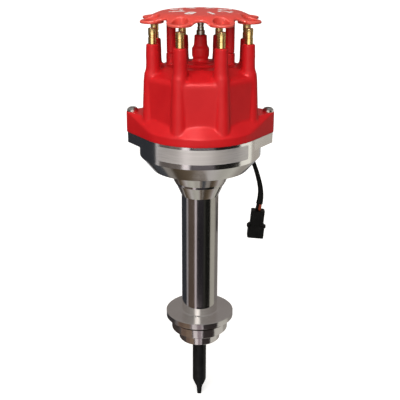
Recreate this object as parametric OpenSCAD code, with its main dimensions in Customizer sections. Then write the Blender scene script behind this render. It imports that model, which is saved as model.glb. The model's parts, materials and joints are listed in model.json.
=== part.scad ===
// Ignition distributor for an eight-cylinder engine: machined housing with a long column,
// moulded cap with plug towers, wire retainer, and the mechanical advance inside.
// Millimetres, +Z up. The origin is the centre of the face that seats on the engine block.
// +X points at the right-hand cap screw, and -Y is the front.

/* [Mounting base] */
// Diameter of the pilot that enters the block
pilot_d = 37.7; // [34:0.1:42]
// Height of the pilot
pilot_h = 10.8; // [6:0.1:16]
// Diameter of the seat step
step_d = 51.4; // [46:0.1:56]
// Height from the seat to the hold-down flange
step_h = 12; // [8:0.1:16]
// Diameter of the hold-down flange
flange_d = 61.5; // [58:0.1:66]
// Thickness of the hold-down flange
flange_t = 5.7; // [4:0.1:8]
// Width of the groove turned under the flange
undercut_w = 0.7; // [0.4:0.1:1.2]

/* [Column] */
// Outer diameter of the column
column_d = 32.6; // [30:0.1:36]
// Length of the plain column
column_h = 113; // [60:1:160]
// Diameter at the top of the lower cone
neck_d = 42; // [40:0.1:46]
// Height of the lower cone
neck_h = 10.6; // [8:0.1:16]
// Diameter of the narrow land between the cones
land_d = 44.4; // [43:0.1:48]
// Height of the land
land_h = 2.5; // [1:0.1:4]
// Diameter at the top of the upper cone
throat_d = 54; // [50:0.1:60]
// Height of the upper cone
throat_h = 12.4; // [11:0.1:16]
// Diameter of the oil space round the shaft
oil_bore_d = 20; // [17:0.1:22]

/* [Bowl] */
// Outer diameter of the bowl
bowl_d = 103.9; // [102:0.1:110]
// Width of the chamfer under the bowl
bowl_chamfer_w = 10.45; // [9:0.05:11]
// Height of the chamfer under the bowl
bowl_chamfer_h = 12.5; // [11:0.1:14]
// Height from the underside to the cap joint
bowl_h = 31; // [31:0.1:40]
// Wall of the bowl
bowl_wall = 4.3; // [3.8:0.1:4.6]
// Thickness of the bowl floor
bowl_floor_t = 5.2; // [5:0.1:6]
// Distance from the side of the bowl out to a cap screw
ear_out = 5.25; // [5:0.05:10]
// Radius of a housing ear round its screw
ear_end_r = 4.7; // [4.4:0.1:5.4]
// Thickness of the ear flange
ear_t = 9.1; // [6:0.1:14]

/* [Cap] */
// Overhang of the cap over the housing
cap_lip = 0.7; // [0.2:0.1:1.2]
// Height of the straight band
band_h = 6.6; // [4:0.1:8]
// Height of the ears
ear_h = 17.5; // [15:0.1:20]
// Distance from the side of the bowl in to a flat panel
panel_in = 6.45; // [6:0.05:7]
// Height from the joint to the shoulder of the panels
shoulder_h = 46.4; // [44:0.1:50]
// Radius of the rounding on the shoulder
shoulder_round = 5; // [3:0.1:6]
// Height from the shoulder to the top of the sloping deck
deck_rise = 10.7; // [8:0.1:12]
// Radius of the level middle of the deck
deck_r = 29; // [28.6:0.1:31]
// Wall of the cap
cap_wall = 3.5; // [3:0.1:4]
// Depth of the lip that enters the bowl
lip_h = 3; // [2:0.1:4]

/* [Towers] */
// Number of cylinders
plugs = 8; // [8]
// Distance from the side of the bowl in to the circle of the plug towers
tower_in = 10.25; // [10:0.05:10.5]
// Height from the joint to the top of a plug tower
tower_top_h = 76.2; // [70:0.1:78]
// Radius of a plug tower at its top
tower_top_r = 5.15; // [4.8:0.05:5.6]
// Radius of a plug tower at its foot
tower_foot_r = 6.3; // [5.8:0.1:6.8]
// Distance from the side of the bowl in to the circle of the outer ribs
rib_in = 8.45; // [8:0.05:9]
// Radius of a rib at its top
rib_top_r = 5.9; // [5.6:0.1:6.1]
// Radius of a rib at its foot
rib_foot_r = 7; // [6.6:0.1:7.4]
// Lean of a rib away from the axis towards its foot
rib_lean = 1.6; // [0:0.1:2]
// Radius of the upper coil tower at its top
coil_tower_r = 5.15; // [4.8:0.05:5.5]
// Radius of the upper coil tower at its foot
coil_tower_low_r = 5.65; // [5.5:0.05:6]
// Radius of the lower coil tower
coil_base_r = 7.2; // [6.8:0.05:7.5]
// Radius of the neck under the lower coil tower
coil_neck_r = 6.3; // [6:0.1:6.6]
// Height from the joint to the top of the coil tower
coil_top_h = 81.5; // [78:0.1:83]
// Height from the joint to the step of the coil tower
coil_step_h = 72.8; // [68:0.1:75]

/* [Terminals] */
// Radius of a plug terminal
terminal_r = 3.4; // [3.2:0.05:3.5]
// Height of a plug terminal above its tower
terminal_h = 12.5; // [11:0.1:12.5]
// Radius of a terminal's shank in the cap
shank_r = 2.4; // [2:0.1:2.6]
// Radius of a contact inside the cap
contact_r = 3.9; // [3.8:0.1:4.1]
// Radius of the coil terminal
coil_terminal_r = 2.8; // [2.5:0.1:3.1]
// Radius of the collar under the coil terminal
coil_collar_r = 3.5; // [3.2:0.1:3.8]
// Height of the coil terminal above its tower
coil_terminal_h = 11.4; // [9:0.1:11.8]

/* [Wire retainer] */
// Height from the underside of the loops to the top of the dome
retainer_rise = 8.6; // [8:0.1:11]
// Thickness of the plate
retainer_t = 2.2; // [1.6:0.1:2.6]
// Outer radius of a loop
loop_r = 9.8; // [9:0.1:10]
// Radius of the hole in a loop
loop_hole_r = 6.55; // [6:0.05:7]
// Height from the joint to the underside of the loops
loop_low_h = 92.5; // [91.5:0.1:93]
// Distance from the circle of the towers in to the middle of a web between two loops
web_in = 2.7; // [2:0.1:3.5]
// Radius of the hollow in a web
web_hollow_r = 6.2; // [6:0.1:6.4]
// Distance from the axis to a leg
leg_x = 24.1; // [23:0.1:24.5]
// Radius of a leg
leg_r = 3.85; // [3.4:0.05:4]
// Radius of the boss that carries a leg
leg_boss_r = 4.3; // [4.2:0.1:4.5]
// Height from the joint to the top of a boss
leg_boss_h = 66.6; // [62:0.1:70]

/* [Drive shaft] */
// Diameter of the shaft
shaft_d = 12.7; // [12:0.1:13]
// Length of full shaft below the pilot
shaft_out = 46.3; // [30:0.1:60]
// Height of the sloped shoulders of the tang
tang_slope_h = 5.2; // [4:0.1:8]
// Length of the tang
tang_h = 8.8; // [8:0.1:14]
// Thickness of the tang
tang_t = 4.9; // [4:0.1:6]
// Diameter of the upper journal, which carries the advance
journal_d = 11; // [10:0.1:11.4]
// Length of the lower bush
bush_h = 30; // [20:1:40]
// Wall of the lower bush
bush_wall = 3.2; // [2.5:0.1:3.4]

/* [Ball bearing] */
// Outer diameter of the bearing
bearing_d = 28.6; // [28.6:0.1:30]
// Width of the bearing
bearing_w = 7.9; // [7.8:0.1:8.2]
// Diameter of a ball
ball_d = 5.5; // [5.2:0.1:5.6]
// Number of balls
balls = 8; // [7:1:9]

/* [Advance] */
// Radius of the advance plate
plate_r = 31; // [30:0.1:33]
// Thickness of the advance plate
plate_t = 2.5; // [2:0.1:3]
// Distance from the axis to a weight's pivot
pivot_r = 26; // [26:0.1:26.4]
// Radius of a weight's pivot pin
pivot_pin_r = 2.4; // [2:0.1:2.6]
// Thickness of a weight
weight_t = 5.5; // [4:0.1:5.5]
// Inner radius of a weight's arm
weight_in_r = 19.8; // [19.6:0.1:21]
// Outer radius of a weight's arm
weight_out_r = 33; // [31:0.1:34]
// Advance of the plate from rest to its stop, in degrees
advance_deg = 12; // [8:1:12]
// Turn of a weight for each degree of advance
weight_ratio = 1.5; // [1.5]
// Outer radius of the stop bush
stop_bush_r = 3; // [2.4:0.1:3]
// Radius of the circle of the stop bush
stop_circle_r = 13.9; // [13.6:0.1:14]

/* [Reluctor and pickup] */
// Distance from the inside of the bowl in to the teeth of the reluctor
reluctor_in = 26.15; // [25.5:0.05:27.5]
// Height of the reluctor
reluctor_h = 10; // [8:0.1:11]
// Width of a tooth
tooth_w = 5; // [4:0.1:6]
// Air gap between a tooth and the pole piece
air_gap = 0.8; // [0.5:0.1:1.2]
// Direction of the pickup and the cable, from +X towards +Y, in degrees
pickup_deg = 33; // [33]

/* [Rotor] */
// Height from the joint to the underside of the rotor
rotor_low_h = 10.8; // [10.6:0.1:12]
// Radius of the rotor's base
rotor_base_r = 28.5; // [28.4:0.1:30]
// Height from the joint to the top of the rotor arm
rotor_arm_h = 32.3; // [31:0.1:33]
// Gap between the blade's tip and a contact
spark_gap = 0.8; // [0.6:0.1:1.2]
// Radius of the carbon button
button_r = 3; // [2.5:0.1:3.2]
// Length of the carbon button
button_h = 8; // [6:0.1:9]
// Travel of the carbon button
button_travel = 1.5; // [1:0.1:2]

/* [Pigtail] */
// Diameter of the cable
cable_d = 4.6; // [4.6]
// Width of the connector's body
connector_w = 12.4; // [11:0.1:13]
// Depth of the connector's body
connector_d = 9; // [8:0.1:10]
// Height of the connector's body
connector_h = 14.6; // [14:0.1:16]
// Width of the connector's mouth
mouth_w = 15; // [14:0.1:16]
// Height of the connector's mouth
mouth_h = 12; // [10:0.1:13]
// Lean of the connector, in degrees
connector_lean = 4.7; // [0:0.1:6]

/* [Hidden] */
$fn = 72;

// Clearances: a fixed seat, a running fit, and faces of different bodies that pass each other
seat_gap = 0.02;
run_gap = 0.05;
pass_gap = 0.3;
// How far a cut runs past the face that it opens
past = 1;

// Heights of the housing
flange_low_z = step_h;
flange_z = flange_low_z + flange_t;
column_top_z = flange_z + column_h;
neck_z = column_top_z + neck_h;
land_z = neck_z + land_h;
bowl_z = land_z + throat_h;
joint_z = bowl_z + bowl_h;
floor_z = bowl_z + bowl_floor_t;
bowl_r = bowl_d / 2;
bowl_floor_d = bowl_d - 2 * bowl_chamfer_w;
ear_r = bowl_r + ear_out;
panel_r = bowl_r - panel_in;
tower_circle_r = bowl_r - tower_in;
rib_circle_r = bowl_r - rib_in;
bowl_in_r = bowl_r - bowl_wall;
ear_sink = 0.15;
floor_in_r = bowl_floor_d / 2 - 1.1;
in_chamfer_z = floor_z + (bowl_in_r - floor_in_r) * bowl_chamfer_h / (bowl_r - bowl_floor_d / 2);

// Shaft, bearing and bush
shaft_r = shaft_d / 2;
journal_r = journal_d / 2;
bush_out_r = shaft_r + run_gap + bush_wall;
bush_low_z = 0.6 - pilot_h;
circlip_t = 1.2;
bearing_top_z = floor_z - 3.6;
bearing_low_z = bearing_top_z - bearing_w;
bearing_r = bearing_d / 2;
ball_r = ball_d / 2;
pitch_r = (bearing_r + shaft_r) / 2;
race_gap = 0.06;
ring_wall = 2.05;
collar_r = 8.4;
collar_top_z = floor_z + 1.6;
washer_t = 0.8;
sleeve_low_z = collar_top_z + washer_t;
sleeve_r = 9;

// Advance plate and what stands on it
plate_low_z = joint_z - 7.2;
plate_z = plate_low_z + plate_t;
cam_low_z = plate_z + pass_gap;
cam_t = 5.2;
cam_hub_r = 8.6;
cam_z = cam_low_z + cam_t;
weight_low_z = plate_z + pass_gap;
weight_z = weight_low_z + weight_t;
weight_hub_r = 5.5;
nose_r = 2.4;
nose_gap = 0.3;
nose_reach = pivot_r / (1 + weight_ratio);
weight_end_deg = -30;
clip_z = weight_z + 0.3;
clip_t = 0.8;
spring_z = clip_z + clip_t + 2.2;
post_top_z = spring_z + 2.3;
spring_post_r = 1.5;
spring_post_circle_r = 13;
spring_post_deg = 20;
stop_deg = -46;
stop_pin_r = 1.6;
slot_r = stop_bush_r + 0.1;
rotor_post_r = 3.2;
rotor_post_circle_r = 24;
rotor_post_deg = -60;
window_circle_r = 22;
window_deg = 20;
window_r = 3.5;
cross_pin_r = 1;

// Reluctor, pickup and the outlet of the cable
reluctor_low_z = floor_z + 3.6;
reluctor_hub_r = sleeve_r + 4;
reluctor_r = bowl_in_r - reluctor_in;
pole_r = reluctor_r + air_gap;
bracket_t = 2;
pickup_low_z = floor_z + bracket_t;
pickup_h = 13;
pickup_in_r = pole_r + 4.2;
pickup_l = 11.5;
pickup_out_r = pickup_in_r + pickup_l;
pickup_lead_r = 1.4;
pickup_screw_x = pickup_in_r + 5;
pickup_screw_y = 13;
core_w = 5;
core_low_z = reluctor_low_z + 1;
core_h = reluctor_h - 3;
hollow_end_x = pickup_out_r - 4;
magnet_l = 3.4;
magnet_x = hollow_end_x - magnet_l - 0.1;
outlet_r = (bowl_r + bowl_floor_d / 2) / 2;
outlet_z = bowl_z + bowl_chamfer_h / 2;
outlet_lean = atan2(bowl_r - bowl_floor_d / 2, bowl_chamfer_h);
outlet_hole_r = 4.4;
grommet_flange_r = 6.2;
grommet_nose_r = 3.9;
grommet_flange_t = 1.6;
grommet_nose_h = 5;
wall_at_outlet = bowl_wall + 0.2;

// Rotor and carbon button
rotor_low_z = joint_z + rotor_low_h;
rotor_base_t = 4;
rotor_top_z = joint_z + rotor_arm_h;
rotor_deg = -67.5;
blade_t = 1.5;
blade_screw_x = 14;
blade_r = tower_circle_r - contact_r - spark_gap;
rotor_contact_z = rotor_top_z + blade_t + 1.5;
button_low_z = rotor_contact_z + 0.1;
button_z = button_low_z + button_h;

// Cap
corner = 1 / cos(180 / plugs);
shoulder_z = joint_z + shoulder_h;
shoulder_deg = 65;
rib_top_z = shoulder_z + 6.9;
deck_z = shoulder_z + deck_rise;
coil_neck_z = deck_z + 6.3;
tower_z = joint_z + tower_top_h;
contact_low_z = rotor_top_z - 5;
contact_z = shoulder_z - 3;
cap_in_r = panel_r - cap_wall;
ceiling_z = deck_z - 5;
lip_r = bowl_in_r - 0.2;
lip_in_r = lip_r - 2.4;
button_boss_r = button_r + 3;
coil_step_z = joint_z + coil_step_h;
coil_top_z = joint_z + coil_top_h;
ear_x = ear_r - 0.6;
cap_ear_end_r = ear_end_r + cap_lip + 0.6;
ear_top_end_r = cap_ear_end_r - 0.7;
ear_top_z = joint_z + ear_h;
tower_turn = 180 / plugs;
ring_1_r = 16;
ring_1_h = 1.8;
ring_2_r = 11;
ring_2_h = 0.8;

// Cap screws
screw_r = 2.4;
screw_head_r = 4.7;
screw_head_h = 3.4;

// Wire retainer
loop_low_z = joint_z + loop_low_h;
retainer_z = loop_low_z + retainer_rise;
leg_boss_z = joint_z + leg_boss_h;
web_centre_r = tower_circle_r - web_in + web_hollow_r;
retainer_disc_r = tower_circle_r + 2.3;
retainer_reach = tower_circle_r + loop_r + past;
collar_step = 0.4;
crown_drop = 2.6;
brim_drop = 4;
brim_in_r = tower_circle_r - 10.7;
brim_out_r = tower_circle_r + 4.8;
spigot_r = 2.4;
spigot_h = 7;

// Connector
connector_top = [54, 31, 104];
pin_x = 3.6;
pin_r = 0.88;
route = [
    [44.4, 28.8, 157.6], [45.5, 29.5, 156.3], [46.5, 30, 154.6], [47.4, 30.4, 152.6],
    [48.4, 30.7, 150.1], [50.2, 30.9, 145.4],
    [52, 31, 140], [53.6, 31, 134.4], [55, 31, 128.6], [55.8, 31, 122.6],
    [55.8, 31, 116.4], [55, 31, 110.2], [54, 31, 104.2]
];

// Height of the dome of the wire retainer at a distance from the axis
function dome_z(r) = retainer_z - crown_drop * pow(r / retainer_reach, 2)
    - brim_drop * smooth_step((r - brim_in_r) / (brim_out_r - brim_in_r));

// Smooth rise from 0 to 1 while t goes from 0 to 1
function smooth_step(t) = t <= 0 ? 0 : t >= 1 ? 1 : t * t * (3 - 2 * t);

// Points round a circle of the plane spanned by u and v
function ring_at(p, u, v, r, n) = [for (i = [0:n - 1])
    p + r * cos(360 * i / n) * u + r * sin(360 * i / n) * v];

function unit(a) = a / norm(a);

// Direction of a path at one of its points
function heading(path, i) = unit(path[min(i + 1, len(path) - 1)] - path[max(i - 1, 0)]);

// Sideways direction at the start of a path
function first_side(path) = let (h = heading(path, 0))
    unit(cross(h, abs(h.z) < 0.9 ? [0, 0, 1] : [1, 0, 0]));

// Sideways directions of a path, each carried on from the one before so that a tube doesn't twist
function sides_of(path, i = 0, last = undef) = i == len(path) ? [] : let (
    h = heading(path, i),
    s = last == undef ? first_side(path) : unit(last - h * (last * h))
) concat([s], sides_of(path, i + 1, s));

// Solid tube of radius r along a path
module tube_along(path, r, n = 8) {
    s = sides_of(path);
    count = len(path);
    points = [for (i = [0:count - 1])
        each ring_at(path[i], s[i], cross(heading(path, i), s[i]), r, n)];
    walls = [for (i = [0:count - 2]) for (k = [0:n - 1]) let (a = i * n, b = a + n, m = (k + 1) % n)
        each [[b + k, b + m, a + m], [b + k, a + m, a + k]]];
    ends = [[for (k = [0:n - 1]) k], [for (k = [n - 1:-1:0]) (count - 1) * n + k]];
    polyhedron(points, concat(walls, ends), convexity = 6);
}

// Cylinder from one height to another
module rod(r, low, high) {
    translate([0, 0, low])
        cylinder(r = r, h = high - low);
}

// Tube from one height to another
module pipe(r_out, r_in, low, high) {
    difference() {
        rod(r_out, low, high);
        rod(r_in, low - past, high + past);
    }
}

// Children at a distance and direction from the axis
module polar(r, deg) {
    rotate([0, 0, deg])
        translate([r, 0, 0])
            children();
}

// Children at both sides of the axis
module both_sides() {
    children();
    rotate([0, 0, 180])
        children();
}

// Children at each plug tower, with X pointing outwards
module each_tower(r) {
    for (i = [0:plugs - 1])
        polar(r, -90 + tower_turn + i * 360 / plugs)
            children();
}

// Children on the chamfer of the bowl, at the outlet, with Z pointing out of the wall
module at_outlet() {
    rotate([0, 0, pickup_deg])
        translate([outlet_r, 0, outlet_z])
            rotate([0, 90 + outlet_lean, 0])
                children();
}

// Plan of the bowl's rim: a circle that runs into two ears
module rim_plan(r, end_x, end_r) {
    hull() {
        circle(r);
        for (s = [-1, 1])
            translate([s * end_x, 0])
                circle(end_r, $fn = 36);
    }
}

module housing_profile() {
    polygon([
        [0, -pilot_h], [pilot_d / 2 - 0.6, -pilot_h], [pilot_d / 2, -pilot_h + 0.6],
        [pilot_d / 2, 0], [step_d / 2 - 0.5, 0], [step_d / 2, 0.5],
        [step_d / 2, flange_low_z - undercut_w], [step_d / 2 - 1.2, flange_low_z - undercut_w],
        [step_d / 2 - 1.2, flange_low_z], [flange_d / 2 - 0.4, flange_low_z],
        [flange_d / 2, flange_low_z + 0.4], [flange_d / 2, flange_z - 0.4],
        [flange_d / 2 - 0.4, flange_z], [column_d / 2 + 0.8, flange_z],
        [column_d / 2, flange_z + 0.8], [column_d / 2, column_top_z],
        [neck_d / 2, neck_z], [neck_d / 2, neck_z + 0.4], [land_d / 2 - 0.6, neck_z + 0.4],
        [land_d / 2 - 0.6, land_z - 0.4], [land_d / 2 + 0.6, land_z],
        [throat_d / 2, bowl_z], [bowl_floor_d / 2, bowl_z],
        [bowl_r, bowl_z + bowl_chamfer_h], [bowl_r, joint_z], [0, joint_z]
    ]);
}

module housing_bore_profile() {
    polygon([
        [0, -pilot_h - past], [bush_out_r + seat_gap, -pilot_h - past],
        [bush_out_r + seat_gap, bush_low_z + bush_h], [oil_bore_d / 2, bush_low_z + bush_h],
        [oil_bore_d / 2, bearing_low_z], [bearing_r + seat_gap, bearing_low_z],
        [bearing_r + seat_gap, bearing_top_z], [bearing_r + 0.9, bearing_top_z],
        [bearing_r + 0.9, bearing_top_z + circlip_t + seat_gap],
        [bearing_r + seat_gap, bearing_top_z + circlip_t + seat_gap],
        [bearing_r + seat_gap, floor_z], [floor_in_r, floor_z],
        [bowl_in_r, in_chamfer_z], [bowl_in_r, joint_z + past], [0, joint_z + past]
    ]);
}

module housing() {
    color("silver")
        difference() {
            union() {
                rotate_extrude()
                    housing_profile();
                translate([0, 0, joint_z - ear_t])
                    linear_extrude(ear_t)
                        rim_plan(bowl_r - ear_sink, ear_x, ear_end_r + 0.6);
            }
            rotate_extrude()
                housing_bore_profile();
            both_sides()
                translate([ear_r, 0, joint_z - ear_t - past])
                    cylinder(r = screw_r + seat_gap, h = ear_t + 2 * past);
            at_outlet()
                cylinder(r = outlet_hole_r + seat_gap, h = 30, center = true);
            pickup_screw_places()
                rod(1.5 + seat_gap, floor_z - 4, floor_z + past);
        }
}

module lower_bushing() {
    color("peru")
        pipe(bush_out_r, shaft_r + run_gap, bush_low_z, bush_low_z + bush_h);
}

// Ball race: a ring with a groove for the balls
module race(r_in, r_out) {
    difference() {
        pipe(r_out, r_in, bearing_low_z, bearing_top_z);
        translate([0, 0, (bearing_low_z + bearing_top_z) / 2])
            rotate_extrude()
                translate([pitch_r, 0])
                    circle(ball_r + race_gap);
    }
}

module bearing_outer_ring() {
    color("gainsboro")
        race(bearing_r - ring_wall, bearing_r);
}

module bearing_inner_ring() {
    color("gainsboro")
        race(shaft_r + seat_gap, shaft_r + seat_gap + ring_wall);
}

module each_ball() {
    for (i = [0:balls - 1])
        rotate([0, 0, i * 360 / balls])
            translate([pitch_r, 0, (bearing_low_z + bearing_top_z) / 2])
                children();
}

module bearing_balls() {
    color("lightgrey")
        each_ball()
            sphere(ball_r, $fn = 36);
}

module bearing_cage() {
    mid_z = (bearing_low_z + bearing_top_z) / 2;
    color("goldenrod")
        difference() {
            pipe(pitch_r + 0.9, pitch_r - 0.9, mid_z - ball_r - 0.6, mid_z + 0.9);
            each_ball()
                rotate([0, 90, 0])
                    cylinder(r = ball_r + run_gap, h = 6, center = true);
        }
}

module bearing_shields() {
    color("dimgrey")
        for (z = [bearing_low_z + 0.1, bearing_top_z - 0.5])
            pipe(bearing_r - ring_wall - seat_gap, shaft_r + ring_wall + pass_gap, z, z + 0.4);
}

// Flat open ring with a gap at +X
module open_ring(r_out, r_in, low, t, gap) {
    difference() {
        pipe(r_out, r_in, low, low + t);
        translate([0, -gap / 2, low - past])
            cube([r_out + past, gap, t + 2 * past]);
    }
}

module bearing_circlip() {
    color("dimgrey")
        union() {
            open_ring(bearing_r + 0.85, bearing_r - 1.4, bearing_top_z + seat_gap / 2, circlip_t, 7);
            for (s = [-1, 1])
                rotate([0, 0, s * 18])
                    translate([bearing_r - 2.4, 0, 0])
                        pipe(2, 0.8, bearing_top_z + seat_gap / 2, bearing_top_z + seat_gap / 2 + circlip_t);
        }
}

module shaft_circlip() {
    color("dimgrey")
        open_ring(shaft_r + 1.8, shaft_r - 0.6 + seat_gap, bearing_low_z - circlip_t - seat_gap,
            circlip_t, 5);
}

// Thickness of the tang and its sloped shoulders, seen from the front
module tang_plan() {
    low = -pilot_h - shaft_out - tang_slope_h - tang_h;
    foot = -pilot_h - shaft_out - tang_slope_h;
    polygon([
        [-tang_t / 2 + 0.9, low], [tang_t / 2 - 0.9, low], [tang_t / 2 - 0.5, low + 0.6],
        [tang_t / 2, foot - 2], [tang_t / 2 + 0.5, foot], [shaft_r, foot + tang_slope_h],
        [shaft_r + past, foot + tang_slope_h + past], [-shaft_r - past, foot + tang_slope_h + past],
        [-shaft_r, foot + tang_slope_h], [-tang_t / 2 - 0.5, foot], [-tang_t / 2, foot - 2],
        [-tang_t / 2 + 0.5, low + 0.6]
    ]);
}

module drive_shaft() {
    tang_low = -pilot_h - shaft_out - tang_slope_h - tang_h;
    color("dimgrey")
        difference() {
            union() {
                intersection() {
                    rod(shaft_r, tang_low, -pilot_h - shaft_out + past);
                    rotate([90, 0, 0])
                        linear_extrude(shaft_d + 2 * past, center = true)
                            tang_plan();
                }
                rod(shaft_r, -pilot_h - shaft_out, bearing_top_z + seat_gap);
                rod(collar_r, bearing_top_z + seat_gap, collar_top_z);
                rod(journal_r, collar_top_z, cam_low_z);
                rod(journal_r - 0.6, cam_low_z, cam_z - 0.2);
            }
            pipe(shaft_r + past, shaft_r - 0.6, bearing_low_z - circlip_t - 2 * seat_gap, bearing_low_z);
            rod(2.1, cam_z - 12, cam_z + past);
        }
}

module thrust_washer() {
    color("peru")
        pipe(collar_r, journal_r + run_gap, collar_top_z + seat_gap, sleeve_low_z - run_gap);
}

module advance_plate() {
    color("darkslategrey")
        difference() {
            union() {
                rod(plate_r, plate_low_z, plate_z);
                rod(sleeve_r, sleeve_low_z, plate_low_z + past);
            }
            rod(journal_r + run_gap, sleeve_low_z - past, plate_z + past);
            both_sides()
                translate([0, pivot_r, 0])
                    rod(pivot_pin_r + seat_gap, plate_low_z - past, plate_z + past);
            both_sides()
                polar(rotor_post_circle_r, rotor_post_deg)
                    rod(2 + seat_gap, plate_low_z - past, plate_z + past);
            polar(stop_circle_r, stop_deg)
                rod(stop_pin_r + seat_gap, plate_low_z - past, plate_z + past);
            both_sides()
                polar(window_circle_r, window_deg)
                    rod(window_r, plate_low_z - past, plate_z + past);
            rotate([0, 90, 0])
                translate([-reluctor_low_z - reluctor_h / 2, 0, 0])
                    cylinder(r = cross_pin_r + seat_gap, h = 2 * sleeve_r + 2 * past, center = true);
        }
}

module reluctor() {
    color("slategrey")
        difference() {
            union() {
                rod(reluctor_hub_r, reluctor_low_z, reluctor_low_z + reluctor_h);
                intersection() {
                    rod(reluctor_r, reluctor_low_z, reluctor_low_z + reluctor_h);
                    for (i = [0:plugs - 1])
                        rotate([0, 0, pickup_deg + i * 360 / plugs])
                            translate([0, -tooth_w / 2, reluctor_low_z])
                                cube([reluctor_r + past, tooth_w, reluctor_h]);
                }
            }
            rod(sleeve_r + seat_gap, reluctor_low_z - past, reluctor_low_z + reluctor_h + past);
            rotate([0, 90, 0])
                translate([-reluctor_low_z - reluctor_h / 2, 0, 0])
                    cylinder(r = cross_pin_r + seat_gap, h = 2 * reluctor_r, center = true);
        }
}

module reluctor_pins() {
    color("silver")
        for (s = [0, 1])
            rotate([0, 0, 180 * s])
                translate([journal_r + 0.6, 0, reluctor_low_z + reluctor_h / 2])
                    rotate([0, 90, 0])
                        cylinder(r = cross_pin_r, h = reluctor_hub_r - journal_r - 0.6);
}

// Finger of the cam that a weight's nose pushes, with its working flank on the Y axis
module cam_finger() {
    reach = pivot_r - nose_reach + 2;
    intersection() {
        square([6, reach]);
        circle(reach);
    }
}

// Points of an arc round a centre, from one angle to another
function arc(centre, r, from, to, steps = 16) = [for (i = [0:steps])
    let (a = from + (to - from) * i / steps) centre + r * [cos(a), sin(a)]];

// Curved band with round ends: the stop slot, the rim round it, and the arm of a weight
module slot_arc(r_in, r_out, from, to) {
    mid_r = (r_in + r_out) / 2;
    end_r = (r_out - r_in) / 2;
    polygon(concat(
        arc([0, 0], r_out, from, to),
        arc(mid_r * [cos(to), sin(to)], end_r, to + 12, to + 168, 12),
        arc([0, 0], r_in, to, from),
        arc(mid_r * [cos(from), sin(from)], end_r, from + 192, from + 348, 12)
    ));
}

module advance_cam() {
    rim = 1.8;
    color("lightsteelblue")
        difference() {
            union() {
                translate([0, 0, cam_low_z])
                    linear_extrude(cam_t)
                        union() {
                            circle(cam_hub_r);
                            both_sides()
                                cam_finger();
                            both_sides()
                                rotate([0, 0, spring_post_deg])
                                    translate([0, -3])
                                        square([spring_post_circle_r, 6]);
                            both_sides()
                                rotate([0, 0, spring_post_deg])
                                    translate([spring_post_circle_r, 0])
                                        circle(3);
                            slot_arc(cam_hub_r - 0.6, stop_circle_r + slot_r + rim,
                                stop_deg, stop_deg + advance_deg);
                        }
                both_sides()
                    polar(spring_post_circle_r, spring_post_deg) {
                        rod(spring_post_r, cam_z - past, post_top_z);
                        rod(spring_post_r + 0.8, post_top_z - 0.8, post_top_z);
                    }
            }
            rod(journal_r - 0.6 + seat_gap, cam_low_z - past, cam_z + past);
            translate([0, 0, cam_low_z - past])
                linear_extrude(cam_t + 2 * past)
                    slot_arc(stop_circle_r - slot_r, stop_circle_r + slot_r,
                        stop_deg - 0.4, stop_deg + advance_deg + 0.4);
        }
}

module cam_screw() {
    color("dimgrey")
        difference() {
            union() {
                rod(2.08, cam_z - 11, cam_z + past);
                rod(5.4, cam_z + seat_gap, cam_z + 3.4);
            }
            translate([0, 0, cam_z + 1.4])
                cylinder(r = 2.3, h = 3, $fn = 6);
        }
}

module weight_plan() {
    arm_mid_r = (weight_in_r + weight_out_r) / 2;
    difference() {
        union() {
            slot_arc(weight_in_r, weight_out_r, weight_end_deg + 12, 78);
            translate([0, pivot_r])
                circle(weight_hub_r);
            translate([-nose_r - nose_gap, pivot_r - nose_reach])
                circle(nose_r);
            translate([-2 * nose_r - nose_gap, pivot_r - nose_reach])
                square([2 * nose_r, nose_reach]);
        }
        rotate([0, 0, weight_end_deg + 14])
            translate([arm_mid_r, 0])
                circle(2.6);
    }
}

module weight() {
    color("slategrey")
        difference() {
            translate([0, 0, weight_low_z])
                linear_extrude(weight_t)
                    weight_plan();
            translate([0, pivot_r, 0])
                rod(pivot_pin_r + run_gap, weight_low_z - past, weight_z + past);
        }
}

module weight_a() {
    weight();
}

module weight_b() {
    rotate([0, 0, 180])
        weight();
}

module weight_pins() {
    color("silver")
        both_sides()
            translate([0, pivot_r, 0])
                difference() {
                    union() {
                        rod(pivot_pin_r, plate_low_z, clip_z + clip_t + 0.2);
                        rod(spring_post_r, clip_z, post_top_z);
                        rod(spring_post_r + 0.8, post_top_z - 0.8, post_top_z);
                    }
                    pipe(pivot_pin_r + past, pivot_pin_r - 0.6, clip_z, clip_z + clip_t + seat_gap);
                }
}

module weight_clips() {
    color("dimgrey")
        both_sides()
            translate([0, pivot_r, 0])
                rotate([0, 0, 90])
                    open_ring(4.6, pivot_pin_r - 0.6 + seat_gap, clip_z + seat_gap / 2, clip_t, 2.6);
}

module stop_pin() {
    color("silver")
        polar(stop_circle_r, stop_deg)
            rod(stop_pin_r, plate_low_z, cam_z + 2.9);
}

module stop_bushing() {
    color("royalblue")
        polar(stop_circle_r, stop_deg)
            pipe(stop_bush_r, stop_pin_r + seat_gap, plate_z + seat_gap, cam_z + 0.2);
}

module stop_nut() {
    color("silver")
        polar(stop_circle_r, stop_deg)
            difference() {
                translate([0, 0, cam_z + 0.2 + seat_gap])
                    cylinder(r = 3.2, h = 2.4, $fn = 6);
                rod(stop_pin_r + seat_gap, cam_z, cam_z + 4);
            }
}

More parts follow.
